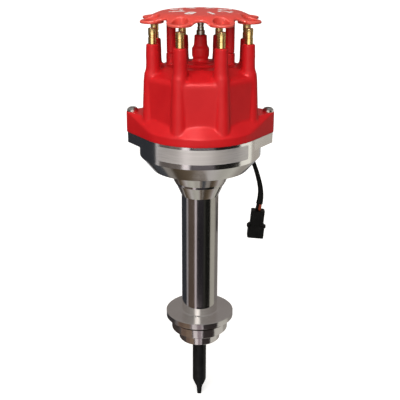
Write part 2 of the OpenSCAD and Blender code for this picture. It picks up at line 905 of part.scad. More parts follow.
// Path of an extension spring from one post to another: hook, coils, hook
function spring_path(a, b, coil_r, turns, steps) = let (
    along = unit(b - a),
    across = [-along.y, along.x, 0],
    hook_r = spring_post_r + 0.65,
    first = a + along * (hook_r + 2),
    last = b - along * (hook_r + 2),
    hook_steps = 10
) concat(
    [for (i = [0:hook_steps]) let (t = -60 + 240 * i / hook_steps)
        a - along * hook_r * cos(t) + across * hook_r * sin(t)],
    [for (i = [0:turns * steps]) let (t = 360 * i / steps, k = i / (turns * steps))
        first + (last - first) * k + coil_r * (across * cos(t + 180) + [0, 0, 1] * sin(t + 180))],
    [for (i = [0:hook_steps]) let (t = 180 - 240 * i / hook_steps)
        b + along * hook_r * cos(t) + across * hook_r * sin(t)]
);

module advance_spring() {
    color("silver")
        tube_along(spring_path(
            [0, pivot_r, spring_z],
            [spring_post_circle_r * cos(spring_post_deg), spring_post_circle_r * sin(spring_post_deg),
                spring_z], 1.7, 10, 10), 0.4, 6);
}

module advance_spring_a() {
    advance_spring();
}

module advance_spring_b() {
    rotate([0, 0, 180])
        advance_spring();
}

module rotor_posts() {
    color("silver")
        both_sides()
            polar(rotor_post_circle_r, rotor_post_deg)
                difference() {
                    union() {
                        rod(2, plate_low_z, plate_z + past);
                        rod(rotor_post_r, plate_z + seat_gap, rotor_low_z - seat_gap);
                    }
                    rod(1.6, rotor_low_z - 9, rotor_low_z + past);
                }
}

module rotor() {
    color("maroon")
        difference() {
            union() {
                rod(rotor_base_r, rotor_low_z, rotor_low_z + rotor_base_t);
                translate([0, 0, rotor_low_z])
                    cylinder(r1 = 13, r2 = 9.5, h = rotor_top_z - rotor_low_z);
                rotate([0, 0, rotor_deg])
                    rotate([90, 0, 0])
                        linear_extrude(9, center = true)
                            polygon([
                                [-15, rotor_low_z + 1], [-15, rotor_top_z - 9], [-11, rotor_top_z],
                                [blade_r - 3, rotor_top_z], [blade_r - 3, rotor_top_z - 5],
                                [20, rotor_top_z - 12], [20, rotor_low_z + 1]
                            ]);
            }
            rod(9, rotor_low_z - past, rotor_low_z + rotor_base_t + 3);
            both_sides()
                polar(rotor_post_circle_r, rotor_post_deg)
                    rod(1.8, rotor_low_z - past, rotor_low_z + rotor_base_t + past);
            rotate([0, 0, rotor_deg])
                translate([blade_screw_x, 0, 0])
                    rod(1.3, rotor_top_z - 6, rotor_top_z + past);
        }
}

// Blade plan: a bar that widens to a tip concentric with the axis
module blade_plan() {
    intersection() {
        circle(blade_r);
        union() {
            translate([-6, -4])
                square([blade_r, 8]);
            polygon([[blade_r - 12, -4], [blade_r - 6, -6.5], [blade_r + 2, -6.5],
                [blade_r + 2, 6.5], [blade_r - 6, 6.5], [blade_r - 12, 4]]);
            circle(7);
        }
    }
}

module rotor_blade() {
    color("gold")
        rotate([0, 0, rotor_deg])
            difference() {
                translate([0, 0, rotor_top_z + seat_gap])
                    linear_extrude(blade_t)
                        blade_plan();
                translate([blade_screw_x, 0, 0])
                    rod(1.3, rotor_top_z, rotor_top_z + blade_t + past);
            }
}

module rotor_contact() {
    color("gold")
        rotate([0, 0, rotor_deg])
            translate([0, 0, rotor_top_z + blade_t + 2 * seat_gap])
                cylinder(r1 = 5, r2 = 3.6, h = 1.5 - 2 * seat_gap);
}

module rotor_screws() {
    head_z = rotor_low_z + rotor_base_t + seat_gap;
    color("silver") {
        both_sides()
            polar(rotor_post_circle_r, rotor_post_deg) {
                rod(1.58, rotor_low_z - 8, head_z + past);
                difference() {
                    rod(3.2, head_z, head_z + 2.2);
                    translate([-4, -0.4, head_z + 1.2])
                        cube([8, 0.8, 2]);
                }
            }
        rotate([0, 0, rotor_deg])
            translate([blade_screw_x, 0, 0]) {
                rod(1.28, rotor_top_z - 5, rotor_top_z + blade_t + past);
                rod(2.6, rotor_top_z + blade_t + 2 * seat_gap, rotor_top_z + blade_t + 1.8);
            }
    }
}

// Children at the two screws of the pickup's bracket
module pickup_screw_places() {
    rotate([0, 0, pickup_deg])
        for (s = [-1, 1])
            translate([pickup_screw_x, s * pickup_screw_y, 0])
                children();
}

module pickup_bracket() {
    color("silver")
        difference() {
            rotate([0, 0, pickup_deg])
                translate([pickup_screw_x - 4, -pickup_screw_y - 3.5, floor_z])
                    cube([8, 2 * pickup_screw_y + 7, bracket_t]);
            pickup_screw_places()
                rod(1.6, floor_z - past, floor_z + bracket_t + past);
        }
}

module pickup_coil() {
    color("black")
        rotate([0, 0, pickup_deg])
            difference() {
                union() {
                    translate([pickup_in_r, -9, pickup_low_z + seat_gap])
                        cube([pickup_l, 18, pickup_h - seat_gap]);
                    translate([pickup_in_r - 3, -5, reluctor_low_z])
                        cube([4, 10, reluctor_h - 1]);
                }
                translate([pickup_in_r - 4, -core_w / 2, core_low_z])
                    cube([hollow_end_x - pickup_in_r + 4, core_w, core_h]);
            }
}

module pickup_core() {
    color("slategrey")
        rotate([0, 0, pickup_deg])
            difference() {
                translate([pole_r - 0.3, seat_gap - core_w / 2, core_low_z + seat_gap])
                    cube([magnet_x - pole_r + 0.3, core_w - 2 * seat_gap, core_h - 2 * seat_gap]);
                rotate([0, 0, -pickup_deg])
                    rod(pole_r, reluctor_low_z - past, reluctor_low_z + reluctor_h + past);
            }
}

module pickup_magnet() {
    color("grey")
        rotate([0, 0, pickup_deg])
            translate([magnet_x + seat_gap, seat_gap - core_w / 2, core_low_z + seat_gap])
                cube([magnet_l, core_w - 2 * seat_gap, core_h - 2 * seat_gap]);
}

module pickup_screws() {
    head_z = floor_z + bracket_t + seat_gap;
    color("silver")
        pickup_screw_places()
            difference() {
                union() {
                    rod(1.48, floor_z - 3.8, head_z + past);
                    rod(2.8, head_z, head_z + 2);
                }
                translate([-4, -0.4, head_z + 1.1])
                    cube([8, 0.8, 2]);
            }
}

module pickup_lead() {
    start_x = pickup_out_r;
    start_z = pickup_low_z + 8.5;
    outlet_in = wall_at_outlet + grommet_flange_t;
    run_x = outlet_r - outlet_in * cos(outlet_lean) - start_x;
    run_z = outlet_z + outlet_in * sin(outlet_lean) - start_z;
    lean = atan2(-run_z, run_x);
    // The square ends stand off the coil's upright face and the cable's slanting end
    off_coil = pickup_lead_r * tan(lean) + seat_gap / cos(lean);
    off_cable = pickup_lead_r * tan(abs(lean - outlet_lean)) + 2 * seat_gap;
    color("black")
        rotate([0, 0, pickup_deg])
            translate([start_x, 0, start_z])
                rotate([0, 90 + lean, 0])
                    rod(pickup_lead_r, off_coil, norm([run_x, run_z]) - off_cable);
}

module cable_grommet() {
    color("black")
        at_outlet()
            difference() {
                rotate_extrude()
                    polygon([
                        [cable_d / 2, -wall_at_outlet - grommet_flange_t],
                        [grommet_flange_r - 0.6, -wall_at_outlet - grommet_flange_t],
                        [grommet_flange_r - 0.6, -wall_at_outlet - pass_gap],
                        [outlet_hole_r, -wall_at_outlet - pass_gap], [outlet_hole_r, seat_gap],
                        [grommet_flange_r, seat_gap], [grommet_flange_r, grommet_flange_t],
                        [grommet_nose_r, grommet_flange_t + 0.4],
                        [cable_d / 2 + 0.8, grommet_nose_h], [cable_d / 2, grommet_nose_h]
                    ]);
                translate([0, 0, -20])
                    cylinder(r = cable_d / 2 + seat_gap, h = 40);
            }
}

module pigtail_cable() {
    outlet_in = wall_at_outlet + grommet_flange_t;
    start = outlet_r - outlet_in * cos(outlet_lean);
    start_z = outlet_z + outlet_in * sin(outlet_lean);
    nose = outlet_r + grommet_nose_h * cos(outlet_lean);
    nose_z = outlet_z - grommet_nose_h * sin(outlet_lean);
    color("black")
        tube_along(concat(
            [[start * cos(pickup_deg), start * sin(pickup_deg), start_z],
                [nose * cos(pickup_deg), nose * sin(pickup_deg), nose_z]],
            route), cable_d / 2 - 0.05, 8);
}

// Children hung from the connector's top, leaning as the cable lets it
module at_connector() {
    translate(connector_top)
        rotate([0, connector_lean, 0])
            children();
}

// Flat block, centred across and hanging from a height
module hung_block(w, d, top, h, r = 1) {
    translate([0, 0, top - h])
        linear_extrude(h)
            difference() {
                square([w, d], center = true);
                for (x = [-1, 1], y = [-1, 1])
                    translate([x * w / 2, y * d / 2])
                        rotate([0, 0, 45])
                            square(r * sqrt(2), center = true);
            }
}

module connector_housing() {
    color("black")
        at_connector()
            difference() {
                union() {
                    hung_block(connector_w, connector_d, -seat_gap, connector_h);
                    hung_block(mouth_w + 2.6, connector_d * 0.5, -connector_h, 2.4, 0.6);
                    hung_block(mouth_w, connector_d + 1.6, -connector_h, mouth_h);
                }
                hung_block(mouth_w - 3, connector_d - 1.4, -connector_h - 2, mouth_h, 0.6);
                for (s = [-1, 1])
                    translate([s * pin_x, 0, 0])
                        rod(pin_r + seat_gap, -connector_h - 3, -connector_h + 4);
            }
}

module connector_pins() {
    color("silver")
        at_connector()
            for (s = [-1, 1])
                translate([s * pin_x, 0, 0])
                    rod(pin_r, -connector_h - mouth_h + 2.5, -connector_h + 3.9);
}

// Outer form of the panelled bell, as half a section that is turned with one face for each plug
module bell_outer() {
    rotate([0, 0, tower_turn])
        rotate_extrude($fn = plugs)
            polygon([
                [0, joint_z + band_h], [panel_r * corner, joint_z + band_h],
                each [for (p = arc([panel_r - shoulder_round, shoulder_z], shoulder_round, 0,
                    shoulder_deg, 4)) [p.x * corner, p.y]],
                [deck_r * corner, deck_z], [0, deck_z]
            ]);
}

// Band round the joint, and the skirt from it up to the ears and the foot of the bell
module skirt() {
    hull() {
        translate([0, 0, joint_z])
            linear_extrude(band_h)
                rim_plan(bowl_r + cap_lip, ear_x, cap_ear_end_r);
        translate([0, 0, ear_top_z - 0.02])
            linear_extrude(0.02)
                rim_plan(panel_r - 1.2, ear_x + 0.6, ear_top_end_r);
    }
}

module ribs() {
    rib_h = rib_top_z - joint_z - band_h;
    each_tower(rib_circle_r)
        translate([0, 0, shoulder_z])
            rotate([0, rib_lean, 180])
                translate([0, 0, rib_top_z - shoulder_z - rib_h])
                    union() {
                        cylinder(r1 = rib_foot_r, r2 = rib_top_r, h = rib_h);
                        translate([0, 0, rib_h])
                            cylinder(r1 = rib_top_r, r2 = rib_top_r - 1.3, h = 1.7);
                    }
}

module plug_towers() {
    each_tower(tower_circle_r)
        union() {
            translate([0, 0, shoulder_z])
                cylinder(r1 = tower_foot_r, r2 = tower_top_r, h = tower_z - 0.5 - shoulder_z);
            translate([0, 0, tower_z - 0.5])
                cylinder(r1 = tower_top_r, r2 = tower_top_r - 0.5, h = 0.5);
        }
}

module coil_tower() {
    rotate_extrude()
        polygon([
            [0, deck_z - past], [ring_1_r + 1, deck_z - past], [ring_1_r + 1, deck_z],
            [ring_1_r, deck_z + ring_1_h], [ring_2_r, deck_z + ring_1_h],
            [ring_2_r - 0.8, deck_z + ring_1_h + ring_2_h],
            [coil_neck_r + 1.6, deck_z + ring_1_h + ring_2_h], [coil_neck_r, deck_z + 4.6],
            [coil_neck_r, coil_neck_z], [coil_base_r, coil_neck_z + 0.7],
            [coil_base_r, coil_step_z - 2.1], [coil_tower_low_r, coil_step_z],
            [coil_tower_r, coil_top_z - 0.6], [coil_tower_r - 0.7, coil_top_z], [0, coil_top_z]
        ]);
}

module cap_cavity() {
    rotate_extrude()
        polygon([
            [0, joint_z - lip_h - past], [lip_in_r, joint_z - lip_h - past],
            [lip_in_r, joint_z + band_h], [cap_in_r, ear_top_z - 3],
            [cap_in_r, shoulder_z - 4], [cap_in_r - 4, shoulder_z + 1],
            [deck_r, ceiling_z - 2], [deck_r - 3, ceiling_z], [0, ceiling_z]
        ]);
}

// Bosses inside the cap: one that guides the carbon button, and one over each contact
module inner_bosses() {
    rod(button_boss_r, button_low_z + 3, deck_z);
    each_tower(tower_circle_r)
        rod(contact_r + 1.6, contact_z - 4, deck_z);
}

// Stepped hole through a tower for a terminal's shank and contact
module terminal_hole() {
    rotate_extrude()
        polygon([
            [0, contact_low_z - past], [contact_r + seat_gap, contact_low_z - past],
            [contact_r + seat_gap, contact_z + seat_gap], [shank_r + seat_gap, contact_z + seat_gap],
            [shank_r + seat_gap, tower_z + past], [0, tower_z + past]
        ]);
}

// Stepped hole for the coil terminal and, below it, the carbon button and its spring
module coil_hole() {
    rotate_extrude()
        polygon([
            [0, button_low_z], [button_r + run_gap, button_low_z],
            [button_r + run_gap, ceiling_z + 3], [shank_r + seat_gap, ceiling_z + 3],
            [shank_r + seat_gap, coil_top_z + past], [0, coil_top_z + past]
        ]);
}

module cap() {
    color("red")
        difference() {
            union() {
                rod(lip_r, joint_z - lip_h, joint_z + past);
                skirt();
                bell_outer();
                ribs();
                plug_towers();
                coil_tower();
                both_sides()
                    translate([leg_x, 0, 0])
                        rod(leg_boss_r, deck_z - 3, leg_boss_z);
            }
            difference() {
                cap_cavity();
                inner_bosses();
            }
            each_tower(tower_circle_r)
                terminal_hole();
            coil_hole();
            both_sides()
                translate([ear_r, 0, 0])
                    rod(screw_r + 0.2, joint_z - past, ear_top_z + past);
            both_sides()
                translate([leg_x, 0, 0])
                    rod(spigot_r + seat_gap, leg_boss_z - spigot_h - 0.3, leg_boss_z + past);
        }
}

module cap_screws() {
    head_z = ear_top_z + seat_gap;
    color("silver")
        both_sides()
            translate([ear_r, 0, 0])
                difference() {
                    union() {
                        rod(screw_r, joint_z - ear_t + 0.5, head_z + past);
                        rod(screw_head_r, head_z, head_z + screw_head_h * 0.55);
                        translate([0, 0, head_z + screw_head_h * 0.55])
                            cylinder(r1 = screw_head_r, r2 = screw_head_r - 1.6,
                                h = screw_head_h * 0.45);
                    }
                    for (a = [45, 135])
                        rotate([0, 0, a])
                            translate([-2.6, -0.5, head_z + screw_head_h - 1.4])
                                cube([5.2, 1, 2]);
                }
}

// One plug terminal: spark-plug stud above the tower, shank in it, contact inside the cap
module plug_terminal(i) {
    color("gold")
        polar(tower_circle_r, -90 + tower_turn + (i - 1) * 360 / plugs)
            rotate_extrude($fn = 48)
                polygon([
                    [0, contact_low_z], [contact_r - 0.5, contact_low_z],
                    [contact_r, contact_low_z + 0.5], [contact_r, contact_z],
                    [shank_r, contact_z], [shank_r, tower_z + seat_gap],
                    [terminal_r, tower_z + seat_gap], [terminal_r, tower_z + terminal_h * 0.37],
                    [terminal_r - 0.9, tower_z + terminal_h * 0.46],
                    [terminal_r - 0.9, tower_z + terminal_h * 0.55],
                    [terminal_r - 0.1, tower_z + terminal_h * 0.66],
                    [terminal_r - 0.1, tower_z + terminal_h * 0.9],
                    [terminal_r - 1.1, tower_z + terminal_h], [0, tower_z + terminal_h]
                ]);
}

module coil_terminal() {
    color("grey")
        rotate_extrude($fn = 48)
            polygon([
                [0, ceiling_z + 3 - seat_gap], [shank_r, ceiling_z + 3 - seat_gap],
                [shank_r, coil_top_z + seat_gap], [coil_collar_r, coil_top_z + seat_gap],
                [coil_collar_r, coil_top_z + coil_terminal_h * 0.3],
                [coil_terminal_r, coil_top_z + coil_terminal_h * 0.36],
                [coil_terminal_r, coil_top_z + coil_terminal_h * 0.55],
                [coil_terminal_r - 0.5, coil_top_z + coil_terminal_h * 0.61],
                [coil_terminal_r - 0.5, coil_top_z + coil_terminal_h * 0.7],
                [coil_terminal_r - 0.1, coil_top_z + coil_terminal_h * 0.77],
                [coil_terminal_r - 0.1, coil_top_z + coil_terminal_h * 0.93],
                [coil_terminal_r - 0.9, coil_top_z + coil_terminal_h],
                [0, coil_top_z + coil_terminal_h]
            ]);
}

module carbon_button() {
    color("dimgrey")
        union() {
            translate([0, 0, button_low_z])
                cylinder(r1 = button_r - 0.5, r2 = button_r, h = 0.5);
            rod(button_r, button_low_z + 0.5, button_z);
        }
}

module button_spring() {
    wire_r = 0.25;
    low = button_z + wire_r + seat_gap;
    high = ceiling_z + 3 - wire_r - seat_gap;
    turns = 4;
    steps = 12;
    color("silver")
        tube_along([for (i = [0:turns * steps]) let (t = 360 * i / steps)
            [2 * cos(t), 2 * sin(t), low + (high - low) * i / (turns * steps)]], wire_r, 6);
}

module retainer_plan() {
    difference() {
        circle(retainer_disc_r);
        for (i = [0:plugs - 1])
            polar(web_centre_r, i * 360 / plugs)
                circle(web_hollow_r);
    }
    each_tower(tower_circle_r)
        circle(loop_r);
}

// Everything under the dome, from a depth below its surface down to a height
module under_dome(depth, low) {
    radii = [0, brim_in_r / 2, 0.8 * brim_in_r, each [for (i = [0:5])
        brim_in_r + (brim_out_r - brim_in_r) * i / 5], retainer_reach];
    rotate_extrude()
        polygon(concat(
            [for (r = radii) [r, dome_z(r) - depth]], [[retainer_reach, low], [0, low]]
        ));
}

module retainer_legs(r, low) {
    both_sides()
        translate([leg_x, 0, 0])
            rod(r, low, retainer_z);
}

module wire_retainer() {
    color("red")
        union() {
            difference() {
                intersection() {
                    under_dome(0, leg_boss_z - past);
                    union() {
                        translate([0, 0, loop_low_z])
                            linear_extrude(retainer_z - loop_low_z + past)
                                retainer_plan();
                        retainer_legs(leg_r, leg_boss_z + seat_gap);
                    }
                }
                difference() {
                    under_dome(retainer_t, loop_low_z - past);
                    each_tower(tower_circle_r)
                        rod(loop_r - collar_step, loop_low_z, retainer_z);
                    retainer_legs(leg_r + collar_step, leg_boss_z);
                }
                each_tower(tower_circle_r)
                    rod(loop_hole_r, loop_low_z - past, retainer_z + past);
            }
            both_sides()
                translate([leg_x, 0, 0])
                    rod(spigot_r, leg_boss_z - spigot_h, leg_boss_z + past);
        }
}

housing();
lower_bushing();
bearing_outer_ring();
bearing_inner_ring();
bearing_balls();
bearing_cage();
bearing_shields();
bearing_circlip();
shaft_circlip();
drive_shaft();
thrust_washer();
advance_plate();
reluctor();
reluctor_pins();
advance_cam();
cam_screw();
weight_a();
weight_b();
weight_pins();
weight_clips();
stop_pin();
stop_bushing();
stop_nut();
advance_spring_a();
advance_spring_b();
rotor_posts();
rotor();
rotor_blade();
rotor_contact();
rotor_screws();
pickup_bracket();
pickup_coil();
pickup_core();
pickup_magnet();
pickup_screws();
pickup_lead();
cable_grommet();
pigtail_cable();
connector_housing();
connector_pins();
cap();
cap_screws();
coil_terminal();
carbon_button();
button_spring();
wire_retainer();
plug_terminal(1);  // plug_terminal_1
plug_terminal(2);  // plug_terminal_2
plug_terminal(3);  // plug_terminal_3
plug_terminal(4);  // plug_terminal_4
plug_terminal(5);  // plug_terminal_5
plug_terminal(6);  // plug_terminal_6
plug_terminal(7);  // plug_terminal_7
plug_terminal(8);  // plug_terminal_8
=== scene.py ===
# Looks of the ignition distributor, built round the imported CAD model. Metres, +Z up, -Y the front.
import bpy
import math
import numpy as np
from mathutils import Matrix, Vector
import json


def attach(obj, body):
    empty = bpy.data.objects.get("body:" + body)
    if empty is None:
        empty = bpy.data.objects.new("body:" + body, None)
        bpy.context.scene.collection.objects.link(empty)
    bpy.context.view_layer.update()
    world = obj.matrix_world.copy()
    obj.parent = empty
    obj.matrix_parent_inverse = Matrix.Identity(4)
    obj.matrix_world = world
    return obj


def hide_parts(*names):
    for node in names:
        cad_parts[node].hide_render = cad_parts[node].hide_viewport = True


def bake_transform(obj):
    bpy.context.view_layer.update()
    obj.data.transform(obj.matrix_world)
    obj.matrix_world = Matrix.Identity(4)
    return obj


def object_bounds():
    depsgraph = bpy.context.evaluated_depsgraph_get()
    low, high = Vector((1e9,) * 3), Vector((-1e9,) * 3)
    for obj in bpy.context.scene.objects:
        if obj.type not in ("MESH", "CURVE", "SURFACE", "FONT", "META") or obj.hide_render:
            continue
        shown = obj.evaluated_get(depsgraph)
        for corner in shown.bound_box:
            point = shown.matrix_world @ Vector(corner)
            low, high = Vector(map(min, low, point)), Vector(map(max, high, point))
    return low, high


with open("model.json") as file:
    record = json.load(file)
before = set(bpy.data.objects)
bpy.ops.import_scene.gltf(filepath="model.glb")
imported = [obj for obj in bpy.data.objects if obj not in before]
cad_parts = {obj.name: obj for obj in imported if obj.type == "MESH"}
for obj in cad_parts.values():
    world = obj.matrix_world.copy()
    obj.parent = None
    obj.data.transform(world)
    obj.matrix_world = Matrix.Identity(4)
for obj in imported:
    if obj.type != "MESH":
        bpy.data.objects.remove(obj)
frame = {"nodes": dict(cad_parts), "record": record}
cad_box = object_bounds()
nodes = frame["nodes"]
scene = bpy.context.scene
MM = 0.001

# Camera, fitted to the photograph: 400 pixels across, 757.86 pixels of focal length
CAMERA_AT = Vector((0, -0.6282, 0.3534))
CAMERA_PITCH = math.radians(20.0)
CAMERA_ROLL = math.radians(0.22)
FOCAL_PX = 757.86
FRAME_PX = 400
SENSOR = 36.0

camera_data = bpy.data.cameras.new("camera")
camera_data.sensor_width = SENSOR
camera_data.lens = FOCAL_PX / FRAME_PX * SENSOR
camera = bpy.data.objects.new("camera", camera_data)
scene.collection.objects.link(camera)
look = Matrix.Rotation(math.pi / 2 - CAMERA_PITCH, 4, "X") @ Matrix.Rotation(CAMERA_ROLL, 4, "Z")
camera.matrix_world = Matrix.Translation(CAMERA_AT) @ look
scene.camera = camera

# Measures that several pieces share, in millimetres, as in the CAD model
GROOVE_LOW_Z = 8.4
GROOVE_TOP_Z = 11.95
FLANGE_TOP_Z = 17.7
BOWL_R = 51.95
JOINT_Z = 187.2
BAND_TOP_Z = 192.8
SHOULDER_Z = 233.6
DECK_Z = 244.3
PANEL_R = 45.5
DECK_R = 31.5
TOWER_COUNT = 8
TOWER_CIRCLE_R = 41.7
TOWER_STEP = 2 * math.pi / TOWER_COUNT
FIRST_TOWER_TURN = math.radians(-67.5)
RETAINER_Z = 288.3
RETAINER_REACH = 52.65
CROWN_DROP = 2.6
LEG_TOP_Z = 275.5
FLOOR_Z = cad_box[0].z


def link(obj):
    scene.collection.objects.link(obj)
    return obj


def new_piece(name, points, faces, materials, smooth=True, body="base"):
    """A mesh piece of points in millimetres, riding on a body unless body is None."""
    mesh = bpy.data.meshes.new(name)
    mesh.from_pydata([[c * MM for c in p] for p in points], [], faces)
    mesh.validate()
    mesh.polygons.foreach_set("use_smooth", [smooth] * len(mesh.polygons))
    for material in materials:
        mesh.materials.append(material)
    obj = link(bpy.data.objects.new(name, mesh))
    if body:
        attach(obj, body)
    return obj


def shown_mesh(obj):
    """A new mesh of the object as it shows, with its modifiers."""
    return bpy.data.meshes.new_from_object(obj.evaluated_get(bpy.context.evaluated_depsgraph_get()))


# Materials

PLAIN_SPECULAR = 0.5


def new_material(name):
    made = bpy.data.materials.new(name)
    made.use_nodes = True
    return made, made.node_tree.nodes, made.node_tree.links, made.node_tree.nodes["Principled BSDF"]


def noise(tree_nodes, links, scale, detail=3.0, stretch=(1, 1, 1)):
    """Noise in object space, in which a stretch of less than 1 draws it out along that axis."""
    place = tree_nodes.new("ShaderNodeTexCoord")
    mapping = tree_nodes.new("ShaderNodeMapping")
    mapping.inputs["Scale"].default_value = stretch
    pattern = tree_nodes.new("ShaderNodeTexNoise")
    pattern.inputs["Scale"].default_value = scale
    pattern.inputs["Detail"].default_value = detail
    links.new(place.outputs["Object"], mapping.inputs["Vector"])
    links.new(mapping.outputs["Vector"], pattern.inputs["Vector"])
    return pattern


def ramp(tree_nodes, links, value, stops, interpolation="LINEAR"):
    """The colour output of a ramp through the stops, each a position from 0 to 1 and a colour."""
    made = tree_nodes.new("ShaderNodeValToRGB")
    made.color_ramp.interpolation = interpolation
    elements = made.color_ramp.elements
    while len(elements) > 1:
        elements.remove(elements[-1])
    elements[0].position, elements[0].color = stops[0][0], (*stops[0][1], 1)
    for position, colour in stops[1:]:
        elements.new(position).color = (*colour, 1)
    links.new(value, made.inputs["Fac"])
    return made.outputs["Color"]


def map_range(tree_nodes, links, value, low, high, to_low=0.0, to_high=1.0):
    made = tree_nodes.new("ShaderNodeMapRange")
    for socket, number in (("From Min", low), ("From Max", high), ("To Min", to_low), ("To Max", to_high)):
        made.inputs[socket].default_value = number
    links.new(value, made.inputs["Value"])
    return made.outputs["Result"]


def mixed(tree_nodes, links, factor, a, b, blend_type="MIX"):
    """A mix of two colours, each a tuple or an output. The factor is a number or an output."""
    made = tree_nodes.new("ShaderNodeMix")
    made.data_type = "RGBA"
    made.blend_type = blend_type
    if isinstance(factor, float):
        made.inputs["Factor"].default_value = factor
    else:
        links.new(factor, made.inputs["Factor"])
    for socket, colour in (("A", a), ("B", b)):
        if isinstance(colour, tuple):
            made.inputs[socket].default_value = (*colour, 1)
        else:
            links.new(colour, made.inputs[socket])
    return made.outputs["Result"]


def bump(tree_nodes, links, shader, height, strength, distance):
    made = tree_nodes.new("ShaderNodeBump")
    made.inputs["Strength"].default_value = strength
    made.inputs["Distance"].default_value = distance
    links.new(height, made.inputs["Height"])
    links.new(made.outputs["Normal"], shader.inputs["Normal"])


def varied(name, low, high, scale, metallic, roughness, spread, bump_height,
           stretch=(1, 1, 1), specular=PLAIN_SPECULAR):
    """A finish whose colour and roughness drift between two values, with a fine relief, in metres."""
    made, tree_nodes, links, shader = new_material(name)
    drift = noise(tree_nodes, links, scale, stretch=stretch).outputs["Fac"]
    links.new(ramp(tree_nodes, links, drift, [(0.35, low), (0.65, high)]), shader.inputs["Base Color"])
    rough = map_range(tree_nodes, links, drift, 0, 1, roughness - spread, roughness + spread)
    links.new(rough, shader.inputs["Roughness"])
    shader.inputs["Metallic"].default_value = metallic
    shader.inputs["Specular IOR Level"].default_value = specular
    relief = noise(tree_nodes, links, scale * 8, stretch=stretch)
    bump(tree_nodes, links, shader, relief.outputs["Fac"], 0.3, bump_height)
    return made


def turned_aluminium():
    """Aluminium polished on a lathe, whose reflections spread across the turning marks."""
    made, tree_nodes, links, shader = new_material("polished_aluminium")
    drift = noise(tree_nodes, links, 30).outputs["Fac"]
    colour = ramp(tree_nodes, links, drift, [(0.35, (0.80, 0.775, 0.755)), (0.65, (0.87, 0.85, 0.835))])
    shader.inputs["Metallic"].default_value = 1.0
    shader.inputs["Anisotropic"].default_value = 0.75
    around = tree_nodes.new("ShaderNodeTangent")
    around.direction_type = "RADIAL"
    around.axis = "Z"
    links.new(around.outputs["Tangent"], shader.inputs["Tangent"])
    place = tree_nodes.new("ShaderNodeTexCoord")
    split = tree_nodes.new("ShaderNodeSeparateXYZ")
    links.new(place.outputs["Object"], split.inputs["Vector"])
    # Below 40 mm the roughness and a painted shade change with the height
    changes_end = 40
    height = map_range(tree_nodes, links, split.outputs["Z"], 0.0, changes_end * MM)

    def by_height(*stops):
        return [(z / changes_end, colour) for z, colour in stops]

    # Painted shade under the flange: the groove is darkened, and the darkening fades out a little below it
    unshaded, painted_shade = (1, 1, 1), (0.06, 0.05, 0.05)
    shade = ramp(tree_nodes, links, height, by_height(
        (0, unshaded), (GROOVE_LOW_Z - 0.4, unshaded), (GROOVE_LOW_Z, painted_shade), (GROOVE_TOP_Z, painted_shade),
        (GROOVE_TOP_Z + 0.1, unshaded)))
    shaded_colour = mixed(tree_nodes, links, 1.0, colour, shade, "MULTIPLY")
    links.new(shaded_colour, shader.inputs["Base Color"])
    # The flange's top is duller than the rest, and the foot of the column is the brightest
    usual, dull, bright, column_foot_end_z = (0.12,) * 3, (0.16,) * 3, (0.05,) * 3, 27
    rough = ramp(tree_nodes, links, height, by_height(
        (0, usual), (FLANGE_TOP_Z - 0.1, dull), (FLANGE_TOP_Z + 0.5, bright), (column_foot_end_z, usual)),
        "CONSTANT")
    links.new(rough, shader.inputs["Roughness"])
    return made


def red_moulding(name, low, high, roughness=0.36):
    return varied(name, low, high, 60, 0.0, roughness, 0.04, 0.00002, specular=0.22)


def edged_moulding(name, flat, edge):
    """A matt moulding whose rounded edges are painted paler than its flats, a painted highlight where they
    catch the light.
    """
    made = varied(name, flat, flat, 60, 0.0, 0.36, 0.04, 0.00002, specular=0.6)
    tree_nodes, links = made.node_tree.nodes, made.node_tree.links
    shape = tree_nodes.new("ShaderNodeNewGeometry")
    # Painted highlight: the colour turns to the paler edge colour where the skin is pointy
    painted_highlight = map_range(tree_nodes, links, shape.outputs["Pointiness"], 0.51, 0.60)
    colour = mixed(tree_nodes, links, painted_highlight, flat, edge)
    links.new(colour, tree_nodes["Principled BSDF"].inputs["Base Color"])
    return made


CAP_RED = red_moulding("cap_red", (0.59, 0.010, 0.014), (0.63, 0.013, 0.0165), 0.37)
# The retainer's edge colour is a painted highlight
RETAINER_RED = edged_moulding("retainer_red", (0.80, 0.068, 0.050), (0.95, 0.20, 0.15))
ROTOR_RED = red_moulding("rotor_red", (0.45, 0.012, 0.012), (0.5, 0.016, 0.014))
POLISHED = turned_aluminium()
BLACK_STEEL = varied("black_oxide", (0.010, 0.010, 0.011), (0.018, 0.018, 0.020), 200, 0.6, 0.38, 0.06,
                     0.00001)
BRASS = varied("brass", (0.78, 0.56, 0.25), (0.86, 0.66, 0.32), 300, 1.0, 0.20, 0.02, 0.0000005)
BRONZE = varied("bronze", (0.45, 0.27, 0.12), (0.55, 0.34, 0.16), 300, 1.0, 0.3, 0.05, 0.00001)
DARK_NICKEL = varied("dark_nickel", (0.26, 0.23, 0.22), (0.34, 0.31, 0.30), 300, 1.0, 0.2, 0.02, 0.0000005)
BRIGHT_STEEL = varied("bright_steel", (0.66, 0.65, 0.63), (0.78, 0.77, 0.75), 300, 1.0, 0.2, 0.05, 0.00001)
ZINC_STEEL = varied("zinc_steel", (0.55, 0.55, 0.54), (0.66, 0.65, 0.62), 250, 1.0, 0.32, 0.06, 0.00002)
DARK_STEEL = varied("dark_steel", (0.16, 0.16, 0.17), (0.24, 0.24, 0.25), 250, 1.0, 0.34, 0.06, 0.00002)
SOFT_IRON = varied("soft_iron", (0.28, 0.28, 0.29), (0.36, 0.35, 0.35), 250, 1.0, 0.4, 0.06, 0.00002)
MAGNET = varied("magnet", (0.08, 0.08, 0.085), (0.12, 0.12, 0.12), 300, 0.3, 0.6, 0.06, 0.00002)
CARBON = varied("carbon", (0.03, 0.03, 0.03), (0.05, 0.05, 0.05), 500, 0.0, 0.6, 0.06, 0.00002)
BLACK_PLASTIC = varied("black_plastic", (0.0015, 0.0015, 0.0015), (0.004, 0.004, 0.004), 200, 0.0, 0.45,
                       0.06, 0.00002, specular=0.15)
